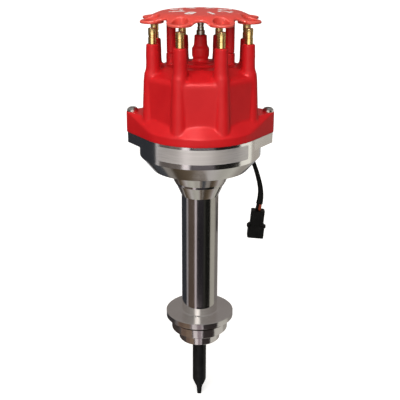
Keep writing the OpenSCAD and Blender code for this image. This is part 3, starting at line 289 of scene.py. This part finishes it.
BLACK_RUBBER = varied("black_rubber", (0.002, 0.002, 0.002), (0.005, 0.005, 0.005), 300, 0.0, 0.5,
                      0.08, 0.00002, specular=0.15)
RED_WIRE = varied("orange_wire", (0.22, 0.035, 0.012), (0.28, 0.045, 0.016), 300, 0.0, 0.45, 0.06, 0.00001)
FOIL = varied("foil", (0.64, 0.615, 0.62), (0.74, 0.715, 0.715), 120, 0.55, 0.30, 0.04, 0.00002,
              (0.05, 1, 8))
WHITE_INK = varied("white_ink", (0.90, 0.875, 0.86), (0.95, 0.93, 0.915), 200, 0.0, 0.5, 0.05, 0.00001)

FINISHES = {
    "machined_aluminium": POLISHED,
    "bronze": BRONZE,
    "bearing_steel": BRIGHT_STEEL,
    "cage_brass": BRASS,
    "dark_steel": DARK_STEEL,
    "black_steel": BLACK_STEEL,
    "plated_steel": ZINC_STEEL,
    "soft_iron": SOFT_IRON,
    "magnet": MAGNET,
    "spring_steel": BRIGHT_STEEL,
    "red_moulding": CAP_RED,
    "red_rotor": ROTOR_RED,
    "red_retainer": RETAINER_RED,
    "terminal_brass": BRASS,
    "blade_brass": BRASS,
    "dark_nickel": DARK_NICKEL,
    "bright_screws": BRIGHT_STEEL,
    "carbon": CARBON,
    "black_plastic": BLACK_PLASTIC,
    "black_rubber": BLACK_RUBBER,
    "pin_brass": BRASS,
}
for row in frame["record"]["subparts"]:
    obj = nodes[row["node"]]
    obj.data.materials.clear()
    obj.data.materials.append(FINISHES[row["material_slot"]])


# Tubes and turned pieces

def smooth_line(points, per_span):
    """A Catmull-Rom curve through the points, and how far along it each of its points is, from 0 to 1."""
    p = np.array(points, float)
    ends = np.vstack([2 * p[0] - p[1], p, 2 * p[-1] - p[-2]])
    t = np.linspace(0, 1, per_span, endpoint=False)[:, None]
    spans = [0.5 * (2 * b + (c - a) * t + (2 * a - 5 * b + 4 * c - d) * t ** 2
                    + (3 * b - a - 3 * c + d) * t ** 3)
             for a, b, c, d in zip(ends, ends[1:], ends[2:], ends[3:])]
    line = np.vstack([*spans, p[-1:]])
    along = np.concatenate([[0], np.cumsum(np.linalg.norm(np.diff(line, axis=0), axis=1))])
    return line, along / along[-1]


def frames_along(line):
    """Two directions square to the line at each point, turning as little as they can."""
    heading = np.gradient(line, axis=0)
    heading /= np.linalg.norm(heading, axis=1)[:, None]
    side = np.cross(heading[0], (0, 0, 1))
    sides = []
    for h in heading:
        side = side - h * (side @ h)
        side /= np.linalg.norm(side)
        sides.append(side)
    sides = np.array(sides)
    return sides, np.cross(heading, sides)


def closed_faces(rings, sides):
    """Faces of a skin over rings of points that follow each other, with a flat face on each end."""
    faces = [(i * sides + k, i * sides + (k + 1) % sides,
              (i + 1) * sides + (k + 1) % sides, (i + 1) * sides + k)
             for i in range(rings - 1) for k in range(sides)]
    last = (rings - 1) * sides
    return faces + [tuple(range(sides))[::-1], tuple(last + k for k in range(sides))]


def tube(line, u, v, wide, deep, sides=14):
    """Points and faces of a closed oval tube, from its half width along u and half depth along v."""
    angles = np.linspace(0, 2 * math.pi, sides, endpoint=False)
    rings = [at + np.outer(np.cos(angles) * w, across) + np.outer(np.sin(angles) * d, up)
             for at, across, up, w, d in zip(line, u, v, wide, deep)]
    return np.vstack(rings), closed_faces(len(rings), sides)


def turned(node, x, y, profile, material, sides=48):
    """A turned piece that stands for a CAD node, from a profile of radii and heights, closed on the axis."""
    angles = np.linspace(0, 2 * math.pi, sides, endpoint=False)
    rings = profile[1:-1]
    points = [(x + r * math.cos(t), y + r * math.sin(t), z) for r, z in rings for t in angles]
    obj = new_piece(node + "_turned", points, closed_faces(len(rings), sides), [material])
    obj.data.set_sharp_from_angle(angle=math.radians(35))
    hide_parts(node)


# The pigtail: two wires in a sleeve that opens towards the connector

OUTLET_TURN = math.radians(33)
OUTLET_LEAN = math.atan2(10.45, 12.5)
OUTLET_AT = (46.725, 162.45)
CABLE_IN_WALL = 6.1
ROUTE_MM = [
    (44.4, 28.8, 157.6), (45.5, 29.5, 156.3), (46.5, 30, 154.6), (47.4, 30.4, 152.6),
    (48.4, 30.7, 150.1), (50.2, 30.9, 145.4),
    (52, 31, 140), (53.6, 31, 134.4), (55, 31, 128.6), (55.8, 31, 122.6),
    (55.8, 31, 116.4), (55, 31, 110.2), (54, 31, 104.2),
]
SLEEVE_R = 2.0
SLEEVE_WIDENS = 1.15
SLEEVE_FLATTENS = 0.25
WIRE_R = 1.35
WIRE_OFF_AXIS = 0.4
WIRE_SPREADS = 0.95
# Places along the route, from 0 to 1
SLEEVE_OPENS = 0.3
WIRES_SPREAD = 0.5
WIRES_START = 0.6
SLEEVE_END = 0.92


def on_outlet(out):
    """The point that far out of the bowl's wall, on the axis of the cable's outlet."""
    r = OUTLET_AT[0] + out * math.cos(OUTLET_LEAN)
    z = OUTLET_AT[1] - out * math.sin(OUTLET_LEAN)
    return (r * math.cos(OUTLET_TURN), r * math.sin(OUTLET_TURN), z)


def pigtail():
    line, along = smooth_line([on_outlet(-CABLE_IN_WALL), on_outlet(5.0)] + ROUTE_MM, 5)
    side, depth = frames_along(line)
    # The wires turn about each other on their way, and lie side by side at the connector
    twist = (-0.99 + 0.9 * (1 - along))[:, None]
    u = np.cos(twist) * side + np.sin(twist) * depth
    v = np.cos(twist) * depth - np.sin(twist) * side
    opened = np.clip((along - SLEEVE_OPENS) / (SLEEVE_END - SLEEVE_OPENS), 0, 1)
    kept = along <= SLEEVE_END
    wide, deep = SLEEVE_R + SLEEVE_WIDENS * opened ** 2, SLEEVE_R - SLEEVE_FLATTENS * opened
    points, faces = tube(line[kept], u[kept], v[kept], wide[kept], deep[kept])
    slots = [0] * len(faces)
    spread = np.clip((along - WIRES_SPREAD) / (1 - WIRES_SPREAD), 0, 1)
    apart = (WIRE_OFF_AXIS + WIRE_SPREADS * spread)[:, None]
    bare = along >= WIRES_START
    wire_r = np.full(bare.sum(), WIRE_R)
    for sign, slot in ((1, 1), (-1, 0)):
        core = (line + sign * apart * u)[bare]
        more, more_faces = tube(core, u[bare], v[bare], wire_r, wire_r, 12)
        faces += [tuple(i + len(points) for i in face) for face in more_faces]
        slots += [slot] * len(more_faces)
        points = np.vstack([points, more])
    obj = new_piece("pigtail", points, faces, [BLACK_RUBBER, RED_WIRE])
    obj.data.polygons.foreach_set("material_index", slots)
    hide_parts("pigtail_cable")


pigtail()


# Springs: wires coiled between their two ends

ADVANCE_SPRING_Z = 191.6
PIVOT_CIRCLE_R = 26
SPRING_POST_CIRCLE_R = 13
SPRING_POST_TURN = math.radians(20)
HOOK_R = 2.15
HOOK_SHANK = 2
ADVANCE_WIRE_R = 0.4
ADVANCE_COIL_R = 1.7
ADVANCE_COIL_TURNS = 10
BUTTON_TOP_Z = 230.6
SPRING_SEAT_Z = 242.3
BUTTON_WIRE_R = 0.25
BUTTON_COIL_R = 2.0
BUTTON_COIL_TURNS = 4
SEAT_GAP = 0.02


def wire_piece(name, line, wire_r, node):
    u, v = frames_along(line)
    half = np.full(len(line), wire_r)
    points, faces = tube(line, u, v, half, half, 8)
    obj = new_piece(name, points, faces, [BRIGHT_STEEL], body=None)
    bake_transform(obj)
    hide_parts(node)


def advance_spring(node, half_turn):
    """From the pivot of a weight to the post on the cam, with a hook round each. The half turn is 1 or -1."""
    turn = np.array([half_turn, half_turn, 1])
    up = np.array([0, 0, 1])
    pivot = turn * [0, PIVOT_CIRCLE_R, ADVANCE_SPRING_Z]
    post = turn * [SPRING_POST_CIRCLE_R * math.cos(SPRING_POST_TURN),
                   SPRING_POST_CIRCLE_R * math.sin(SPRING_POST_TURN), ADVANCE_SPRING_Z]
    ahead = (post - pivot) / np.linalg.norm(post - pivot)
    across = np.array([-ahead[1], ahead[0], 0])
    first, last = pivot + ahead * (HOOK_R + HOOK_SHANK), post - ahead * (HOOK_R + HOOK_SHANK)
    coil = np.radians(np.linspace(0, 360 * ADVANCE_COIL_TURNS, 20 * ADVANCE_COIL_TURNS + 1))[:, None]
    around = across * np.cos(coil) + up * np.sin(coil)
    hook = np.radians(np.linspace(0, 240, 25))[:, None]
    at_pivot = hook - math.radians(60)
    at_post = math.pi - hook
    line = np.vstack([
        pivot - ahead * HOOK_R * np.cos(at_pivot) + across * HOOK_R * np.sin(at_pivot),
        first + (last - first) * coil / coil[-1] - ADVANCE_COIL_R * around,
        post + ahead * HOOK_R * np.cos(at_post) + across * HOOK_R * np.sin(at_post)])
    wire_piece(node + "_wire", line, ADVANCE_WIRE_R, node)


def button_spring():
    low = BUTTON_TOP_Z + BUTTON_WIRE_R + SEAT_GAP
    high = SPRING_SEAT_Z - BUTTON_WIRE_R - SEAT_GAP
    t = np.linspace(0, 1, 24 * BUTTON_COIL_TURNS + 1)
    turn = 2 * math.pi * BUTTON_COIL_TURNS * t
    line = np.stack([BUTTON_COIL_R * np.cos(turn), BUTTON_COIL_R * np.sin(turn), low + (high - low) * t], 1)
    wire_piece("button_spring_wire", line, BUTTON_WIRE_R, "button_spring")


advance_spring("advance_spring_a", 1)
advance_spring("advance_spring_b", -1)
button_spring()


# Mouldings: copies of the CAD solids with soft edges and fillets

# How far a fully soft point moves towards the mean of its neighbours in each pass
EVENING = 0.8
RETAINER_VOXEL, RETAINER_PASSES = 0.5, 2
CAP_VOXEL, CAP_PASSES = 0.6, 28


def moulded(node, name, voxel, passes, weight, material):
    """A copy of a CAD node as an even skin of small faces, evened out where weight(points) is above 0."""
    source = nodes[node]
    copy = link(bpy.data.objects.new(name + "_skin", source.data.copy()))
    copy.matrix_world = source.matrix_world
    skin = copy.modifiers.new("skin", "REMESH")
    skin.mode = "VOXEL"
    skin.voxel_size = voxel * MM
    mesh = shown_mesh(copy)
    mesh.transform(source.matrix_world)
    bpy.data.objects.remove(copy)
    mesh.name = name
    count = len(mesh.vertices)
    at = np.empty(3 * count)
    mesh.vertices.foreach_get("co", at)
    at = at.reshape(-1, 3)
    ends = np.empty(2 * len(mesh.edges), np.int64)
    mesh.edges.foreach_get("vertices", ends)
    a, b = ends.reshape(-1, 2).T
    degree = np.bincount(a, minlength=count) + np.bincount(b, minlength=count)
    pull = EVENING * weight(at / MM)[:, None]
    for _ in range(passes):
        mean = np.stack([np.bincount(a, at[b, k], count) + np.bincount(b, at[a, k], count)
                         for k in range(3)], 1)
        at += pull * (mean / degree[:, None] - at)
    mesh.vertices.foreach_set("co", at.ravel())
    mesh.polygons.foreach_set("use_smooth", [True] * len(mesh.polygons))
    mesh.materials.clear()
    mesh.materials.append(material)
    mesh.update()
    obj = link(bpy.data.objects.new(name, mesh))
    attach(obj, "base")
    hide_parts(node)
    return obj


def near_towers(at):
    """How far each point is from the nearest tower's axis, in millimetres."""
    r = np.hypot(at[:, 0], at[:, 1])
    turn = np.arctan2(at[:, 1], at[:, 0]) - FIRST_TOWER_TURN
    turn -= TOWER_STEP * np.round(turn / TOWER_STEP)
    return np.sqrt(r ** 2 + TOWER_CIRCLE_R ** 2 - 2 * r * TOWER_CIRCLE_R * np.cos(turn))


def rising(value, start, over):
    """0 up to the start, and from there up to 1 over that many millimetres."""
    return np.clip((value - start) / over, 0, 1)


def cap_softness(at):
    """How soft the cap is at each point: most round the towers' feet, and not at all inside."""
    inside_r, wall, skirt_r, edge = 43.4, 1.6, 48, 0.25
    foot_r, feet_low_z, feet_high_z, towers_z, ears_x = 8, 234.5, 250, 252, 50
    r = np.hypot(at[:, 0], at[:, 1])
    z = at[:, 2]
    soft = 0.2 * rising(z, BAND_TOP_Z + 0.6, 2)
    near_foot = 1 - rising(near_towers(at), foot_r, 2)
    at_foot = rising(z, feet_low_z, 3) * (1 - rising(z, feet_high_z, 4))
    soft = np.maximum(soft, 0.9 * near_foot * at_foot)
    soft *= 1 - 0.8 * rising(z, towers_z, 4)
    soft *= 1 - 0.7 * rising(np.abs(at[:, 0]), ears_x, 3)
    skirt = (z > JOINT_Z + edge) & (r > skirt_r)
    soft = np.maximum(soft, np.where(skirt, 0.1 * (z < JOINT_Z + 2) + 0.02, 0))
    outer_z = DECK_Z - (DECK_Z - SHOULDER_Z) * rising(r, DECK_R, PANEL_R - DECK_R)
    inside = (r < inside_r) & (z < outer_z - wall)
    return np.where(inside, 0, soft)


def even_softness(at):
    return np.ones(len(at))


moulded("cap", "cap_moulding", CAP_VOXEL, CAP_PASSES, cap_softness, CAP_RED)
retainer = moulded("wire_retainer", "retainer_moulding", RETAINER_VOXEL, RETAINER_PASSES, even_softness,
                   RETAINER_RED)
# Painted light and shade on one moulding: the retainer's top has a paler red than the cap, painted light, and
# its legs take the cap's darker red, painted shade under the retainer
retainer.data.materials.append(CAP_RED)
for face in retainer.data.polygons:
    face.material_index = int(face.center.z < LEG_TOP_Z * MM)


# Terminals: turned pieces with a soft waist

STEM_R = 2.4
EDGE = 0.2
CONTACT_R = 3.9
CONTACT_LOW_Z = 214.5
CONTACT_TOP_Z = 230.6
PLUG_TERMINAL_R = 3.4
PLUG_TERMINAL_Z = 263.42, 275.9
COIL_TERMINAL_R = 2.8
COIL_TERMINAL_Z = 268.72, 280.1
COIL_COLLAR_R = 3.5
COIL_STEM_LOW_Z = 242.32


def necked(r, low_z, high_z, deep, slope):
    """A waist between two heights, above which the piece is 0.05 slimmer than r."""
    return [(r, low_z), (r - deep, low_z + slope), (r - deep, high_z), (r - 0.05, high_z + slope)]


def rounded_top(r, z, edge):
    """The last points of a profile: a wall of radius r that rolls over to a flat end at height z."""
    turns = np.linspace(0, math.pi / 2, 5)
    return [(r - edge + edge * math.cos(t), z - edge + edge * math.sin(t)) for t in turns] + [(0, z)]


def plug_terminals():
    r, (foot_z, top_z) = PLUG_TERMINAL_R, PLUG_TERMINAL_Z
    contact = [(0, CONTACT_LOW_Z), (CONTACT_R - 0.5, CONTACT_LOW_Z), (CONTACT_R, CONTACT_LOW_Z + 0.5),
               (CONTACT_R, CONTACT_TOP_Z), (STEM_R, CONTACT_TOP_Z)]
    foot = [(STEM_R, foot_z), (r - EDGE, foot_z), (r, foot_z + EDGE)]
    waist = necked(r, foot_z + 4.9, foot_z + 6.7, 0.3, 0.25)
    profile = contact + foot + waist + rounded_top(r - 0.05, top_z, 0.5)
    for k in range(TOWER_COUNT):
        turn = FIRST_TOWER_TURN + TOWER_STEP * k
        turned(f"plug_terminal_{k + 1}", TOWER_CIRCLE_R * math.cos(turn), TOWER_CIRCLE_R * math.sin(turn),
               profile, BRASS)


def coil_terminal():
    r, (foot_z, top_z) = COIL_TERMINAL_R, COIL_TERMINAL_Z
    stem = [(0, COIL_STEM_LOW_Z), (STEM_R, COIL_STEM_LOW_Z), (STEM_R, foot_z)]
    collar = [(COIL_COLLAR_R - EDGE, foot_z), (COIL_COLLAR_R, foot_z + EDGE), (COIL_COLLAR_R, foot_z + 3.2),
              (COIL_COLLAR_R - EDGE, foot_z + 3.4), (r, foot_z + 3.7)]
    waist = necked(r, foot_z + 5.9, foot_z + 7.9, 0.35, 0.3)
    turned("coil_terminal", 0, 0, stem + collar + waist + rounded_top(r - 0.05, top_z, 0.6),
           DARK_NICKEL)


plug_terminals()
coil_terminal()


# The bare foil plate round the front of the bowl

FOIL_START, FOIL_END = math.radians(-41), math.radians(49)
FOIL_Z = 172.9, 184.9
FOIL_CORNER = 1.4
FOIL_GAP = 0.03
FOIL_THICKNESS = 0.12


def foil_plate():
    (low, high), corner, r = FOIL_Z, FOIL_CORNER, BOWL_R + FOIL_GAP
    long = (FOIL_END - FOIL_START) * r
    corner_steps = [0, corner * 0.13, corner * 0.4, corner * 0.7]
    across = np.concatenate([corner_steps, np.linspace(corner, long / 2, 40)])
    across = np.unique(np.concatenate([across, long - across]).round(4))
    up = np.linspace(0, high - low, 7)
    points, faces = [], []
    for skin in (r, r + FOIL_THICKNESS):
        for s in across:
            turn = FOIL_START + s / r
            edge = min(s, long - s)
            cut = corner - math.sqrt(max(0, corner ** 2 - max(0, corner - edge) ** 2))
            for t in up:
                z = low + cut + t * (high - low - 2 * cut) / (high - low)
                points.append((skin * math.sin(turn), -skin * math.cos(turn), z))
    rows, columns = len(up), len(across)
    top = rows * columns
    for i in range(columns - 1):
        for k in range(rows - 1):
            a = i * rows + k
            faces.append((a, a + 1, a + rows + 1, a + rows))
            faces.append((top + a, top + a + rows, top + a + rows + 1, top + a + 1))
    rim = ([i * rows for i in range(columns)] + [(columns - 1) * rows + k for k in range(1, rows)]
           + [i * rows + rows - 1 for i in range(columns - 2, -1, -1)] + list(range(rows - 2, 0, -1)))
    for a, b in zip(rim, rim[1:] + rim[:1]):
        faces.append((a, b, top + b, top + a))
    obj = new_piece("foil_plate", points, faces, [FOIL], smooth=False)


foil_plate()


# Plain cylinder numbers round the top of the retainer, one for each wire loop

NUMERAL_SIZE = 16
NUMERAL_CIRCLE_R = 21.8
NUMERAL_WEIGHT = 0.45
NUMERAL_HALF_THICKNESS = 0.06


def dome_z(r):
    return RETAINER_Z - CROWN_DROP * (r / RETAINER_REACH) ** 2


def numeral(digit, turn):
    curve = bpy.data.curves.new(f"numeral_{digit}", "FONT")
    curve.body = str(digit)
    curve.size = NUMERAL_SIZE * MM
    curve.align_x = "CENTER"
    curve.align_y = "CENTER"
    curve.extrude = NUMERAL_HALF_THICKNESS * MM
    curve.offset = NUMERAL_WEIGHT * MM
    curve.resolution_u = 4
    source = link(bpy.data.objects.new("numeral_source", curve))
    mesh = shown_mesh(source)
    bpy.data.objects.remove(source)
    out = Vector((math.cos(turn), math.sin(turn), 0))
    right = Vector((-out.y, out.x, 0))
    for vertex in mesh.vertices:
        flat = out * (NUMERAL_CIRCLE_R * MM) + right * vertex.co.x - out * vertex.co.y
        lift = (0.04 + 0.1 * (vertex.co.z > 0)) * MM
        vertex.co = (flat.x, flat.y, dome_z(flat.length / MM) * MM + lift)
    mesh.materials.clear()
    mesh.materials.append(WHITE_INK)
    obj = link(bpy.data.objects.new(f"numeral_{digit}", mesh))
    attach(obj, "base")


for k in range(TOWER_COUNT):
    numeral(k + 1, FIRST_TOWER_TURN + TOWER_STEP * k)


# Floor, light and surroundings

def floor():
    made, tree_nodes, links, shader = new_material("floor_white")
    shader.inputs["Base Color"].default_value = (0.80, 0.80, 0.80, 1)
    shader.inputs["Roughness"].default_value = 0.95
    shader.inputs["Specular IOR Level"].default_value = 0.0
    shader.inputs["Emission Color"].default_value = (1, 1, 1, 1)
    shader.inputs["Emission Strength"].default_value = 0.55
    mesh = bpy.data.meshes.new("floor")
    half = 6.0
    corners = [(-half, -half), (half, -half), (half, half), (-half, half)]
    mesh.from_pydata([(x, y, FLOOR_Z) for x, y in corners], [], [(0, 1, 2, 3)])
    obj = link(bpy.data.objects.new("floor", mesh))
    obj.data.materials.append(made)
    obj.visible_glossy = False
    obj.visible_diffuse = False


# What the reflections see, in rows by how steeply they go down. Within a row each card starts at an angle,
# in degrees from the front, positive to the right, and reaches to the next one.

# The flange's edge and the steps
STEEP_ROW = [
    (-180, (0.03, 0.03, 0.03)), (-150, (0.05, 0.04, 0.035)), (-84, (0.15, 0.10, 0.075)),
    (-58, (0.20, 0.14, 0.10)), (-31, (0.04, 0.03, 0.03)), (-26, (0.75, 0.68, 0.69)),
    (-9, (0.32, 0.26, 0.28)), (6, (0.58, 0.53, 0.55)), (12, (0.035, 0.028, 0.028)),
    (64, (0.52, 0.50, 0.46)), (116, (0.35, 0.33, 0.30)), (159, (0.3, 0.3, 0.3)),
]
# The column
MIDDLE_ROW = [
    (-180, (0.5, 0.5, 0.52)), (-159, (0.030, 0.032, 0.038)), (-93, (0.30, 0.28, 0.29)),
    (-79, (0.085, 0.062, 0.050)), (-33, (0.52, 0.46, 0.48)), (-20, (0.018, 0.016, 0.019)),
    (23, (0.030, 0.030, 0.026)), (34, (0.008, 0.008, 0.007)), (68, (0.36, 0.345, 0.30)),
    (108, (0.18, 0.165, 0.155)), (159, (0.3, 0.3, 0.32)),
]
# The bowl's wall
SHALLOW_ROW = [
    (-180, (0.3, 0.3, 0.3)), (-159, (0.030, 0.032, 0.038)), (-92, (0.50, 0.48, 0.48)),
    (-84, (0.12, 0.105, 0.10)), (-60, (0.16, 0.14, 0.13)), (-34, (1.0, 0.93, 0.95)),
    (-21, (0.05, 0.045, 0.05)), (-14, (0.15, 0.135, 0.145)), (26, (0.012, 0.011, 0.011)),
    (80, (0.85, 0.84, 0.76)), (112, (0.42, 0.39, 0.35)), (150, (0.4, 0.4, 0.4)),
]
# The terminals, the screws and the edge of the retainer
LEVEL_ROW = [
    (-180, (0.14, 0.11, 0.08)), (-125, (0.05, 0.035, 0.02)), (-76, (0.20, 0.15, 0.09)),
    (-34, (2.4, 2.25, 2.0)), (20, (0.60, 0.46, 0.3)), (48, (0.07, 0.045, 0.02)),
    (94, (0.7, 0.65, 0.54)), (112, (0.10, 0.075, 0.05)),
]
# The chamfer and the cones, which look nearly straight down. The stops run over the direction's Y from -1 to
# 1, with its sign turned on the left, and the colours change softly.
DOWN_ROW = [
    (0.20, (0.050, 0.053, 0.062)), (0.25, (0.055, 0.058, 0.066)), (0.26, (0.26, 0.24, 0.22)),
    (0.32, (0.22, 0.20, 0.18)), (0.33, (0.050, 0.036, 0.024)), (0.40, (0.10, 0.075, 0.050)),
    (0.46, (0.17, 0.14, 0.11)), (0.52, (0.30, 0.26, 0.24)), (0.58, (0.46, 0.44, 0.43)),
    (0.64, (0.38, 0.37, 0.33)), (0.72, (0.48, 0.47, 0.42)), (0.80, (0.30, 0.28, 0.25)),
]
# Above the level: dark, with one lamp in it. By the cosine of the angle from the lamp.
LAMP_CARD_TOWARDS = (-0.19, -0.72, 0.67)
LAMP_CARD = [(0.0, (0.24, 0.22, 0.21)), (0.965, (0.26, 0.25, 0.24)), (0.980, (37, 35.5, 34)),
             (1.0, (43, 41.5, 40))]
# The same lamp where it is reflected twice, such as by the column in the flange's top: fainter and wider
FAINT_LAMP_CARD = [(0.0, (0.24, 0.22, 0.21)), (0.93, (0.26, 0.25, 0.24)), (0.985, (1.65, 1.62, 1.58)),
                   (1.0, (1.9, 1.86, 1.8))]

# What lights the matt surfaces: a broad soft lamp in front, above and to the left. The stops run from the
# side away from the lamp at 0 to the lamp's middle at 1.
LAMP_TOWARDS = (-0.18, -0.845, 0.503)
SOFT_LAMP = [(0.0, (0.05, 0.05, 0.052)), (0.5, (0.055, 0.055, 0.058)), (0.7, (0.07, 0.069, 0.068)),
             (0.8, (0.27, 0.26, 0.255)), (0.9, (1.32, 1.28, 1.22)), (1.0, (3.25, 3.15, 3.0))]
# And a lamp overhead, from OVERHEAD_START of the height at 0 to straight up at 1
OVERHEAD_START = 0.6
OVERHEAD_LAMP = [(0.0, (0, 0, 0)), (0.5, (0.25, 0.24, 0.23)), (1.0, (1.2, 1.15, 1.1))]


def surroundings():
    """A studio: cards that only reflections see, lamps that light the matt surfaces, and white behind."""
    world = bpy.data.worlds.new("studio")
    scene.world = world
    world.use_nodes = True
    tree_nodes, links = world.node_tree.nodes, world.node_tree.links
    background = tree_nodes["Background"]
    place = tree_nodes.new("ShaderNodeTexCoord")
    split = tree_nodes.new("ShaderNodeSeparateXYZ")
    links.new(place.outputs["Generated"], split.inputs["Vector"])
    height = split.outputs["Z"]

    def math_node(operation, a, b):
        made = tree_nodes.new("ShaderNodeMath")
        made.operation = operation
        for socket, value in zip(made.inputs, (a, b)):
            if isinstance(value, int):
                socket.default_value = value
            else:
                links.new(value, socket)
        return made.outputs["Value"]

    def cosine_from(towards):
        made = tree_nodes.new("ShaderNodeVectorMath")
        made.operation = "DOT_PRODUCT"
        links.new(place.outputs["Generated"], made.inputs[0])
        made.inputs[1].default_value = Vector(towards).normalized()
        return made.outputs["Value"]

    def linear(value, stops):
        return ramp(tree_nodes, links, value, stops)

    def between(value, low, high, to_low=0.0, to_high=1.0):
        return map_range(tree_nodes, links, value, low, high, to_low, to_high)

    front = math_node("MULTIPLY", split.outputs["Y"], -1)
    turn = between(math_node("ARCTAN2", split.outputs["X"], front), -math.pi, math.pi)

    def cards_round(stops):
        return ramp(tree_nodes, links, turn, [((a + 180) / 360, colour) for a, colour in stops], "CONSTANT")

    # Y where X is positive, -Y where it is negative, with a soft change between
    side = between(split.outputs["X"], -0.12, 0.12, -1, 1)
    cards = linear(between(math_node("MULTIPLY", side, split.outputs["Y"]), -1, 1), DOWN_ROW)
    path = tree_nodes.new("ShaderNodeLightPath")
    lamp_cosine = cosine_from(LAMP_CARD_TOWARDS)
    above = mixed(tree_nodes, links, between(path.outputs["Glossy Depth"], 1, 2),
                  linear(lamp_cosine, LAMP_CARD), linear(lamp_cosine, FAINT_LAMP_CARD))
    for low, high, row in ((-0.64, -0.58, cards_round(STEEP_ROW)), (-0.490, -0.478, cards_round(MIDDLE_ROW)),
                           (-0.319, -0.309, cards_round(SHALLOW_ROW)), (-0.20, -0.18, cards_round(LEVEL_ROW)),
                           (-0.06, 0.02, above)):
        cards = mixed(tree_nodes, links, between(height, low, high), cards, row)

    soft = linear(between(cosine_from(LAMP_TOWARDS), -1, 1), SOFT_LAMP)
    overhead = linear(between(height, OVERHEAD_START, 1.0), OVERHEAD_LAMP)
    lamps = mixed(tree_nodes, links, 1.0, soft, overhead, "ADD")
    light = mixed(tree_nodes, links, path.outputs["Is Glossy Ray"], lamps, cards)
    seen = mixed(tree_nodes, links, path.outputs["Is Camera Ray"], light, (1.0, 1.0, 1.0))
    links.new(seen, background.inputs["Color"])
    background.inputs["Strength"].default_value = 1.0


floor()
surroundings()
scene.view_settings.view_transform = "Standard"
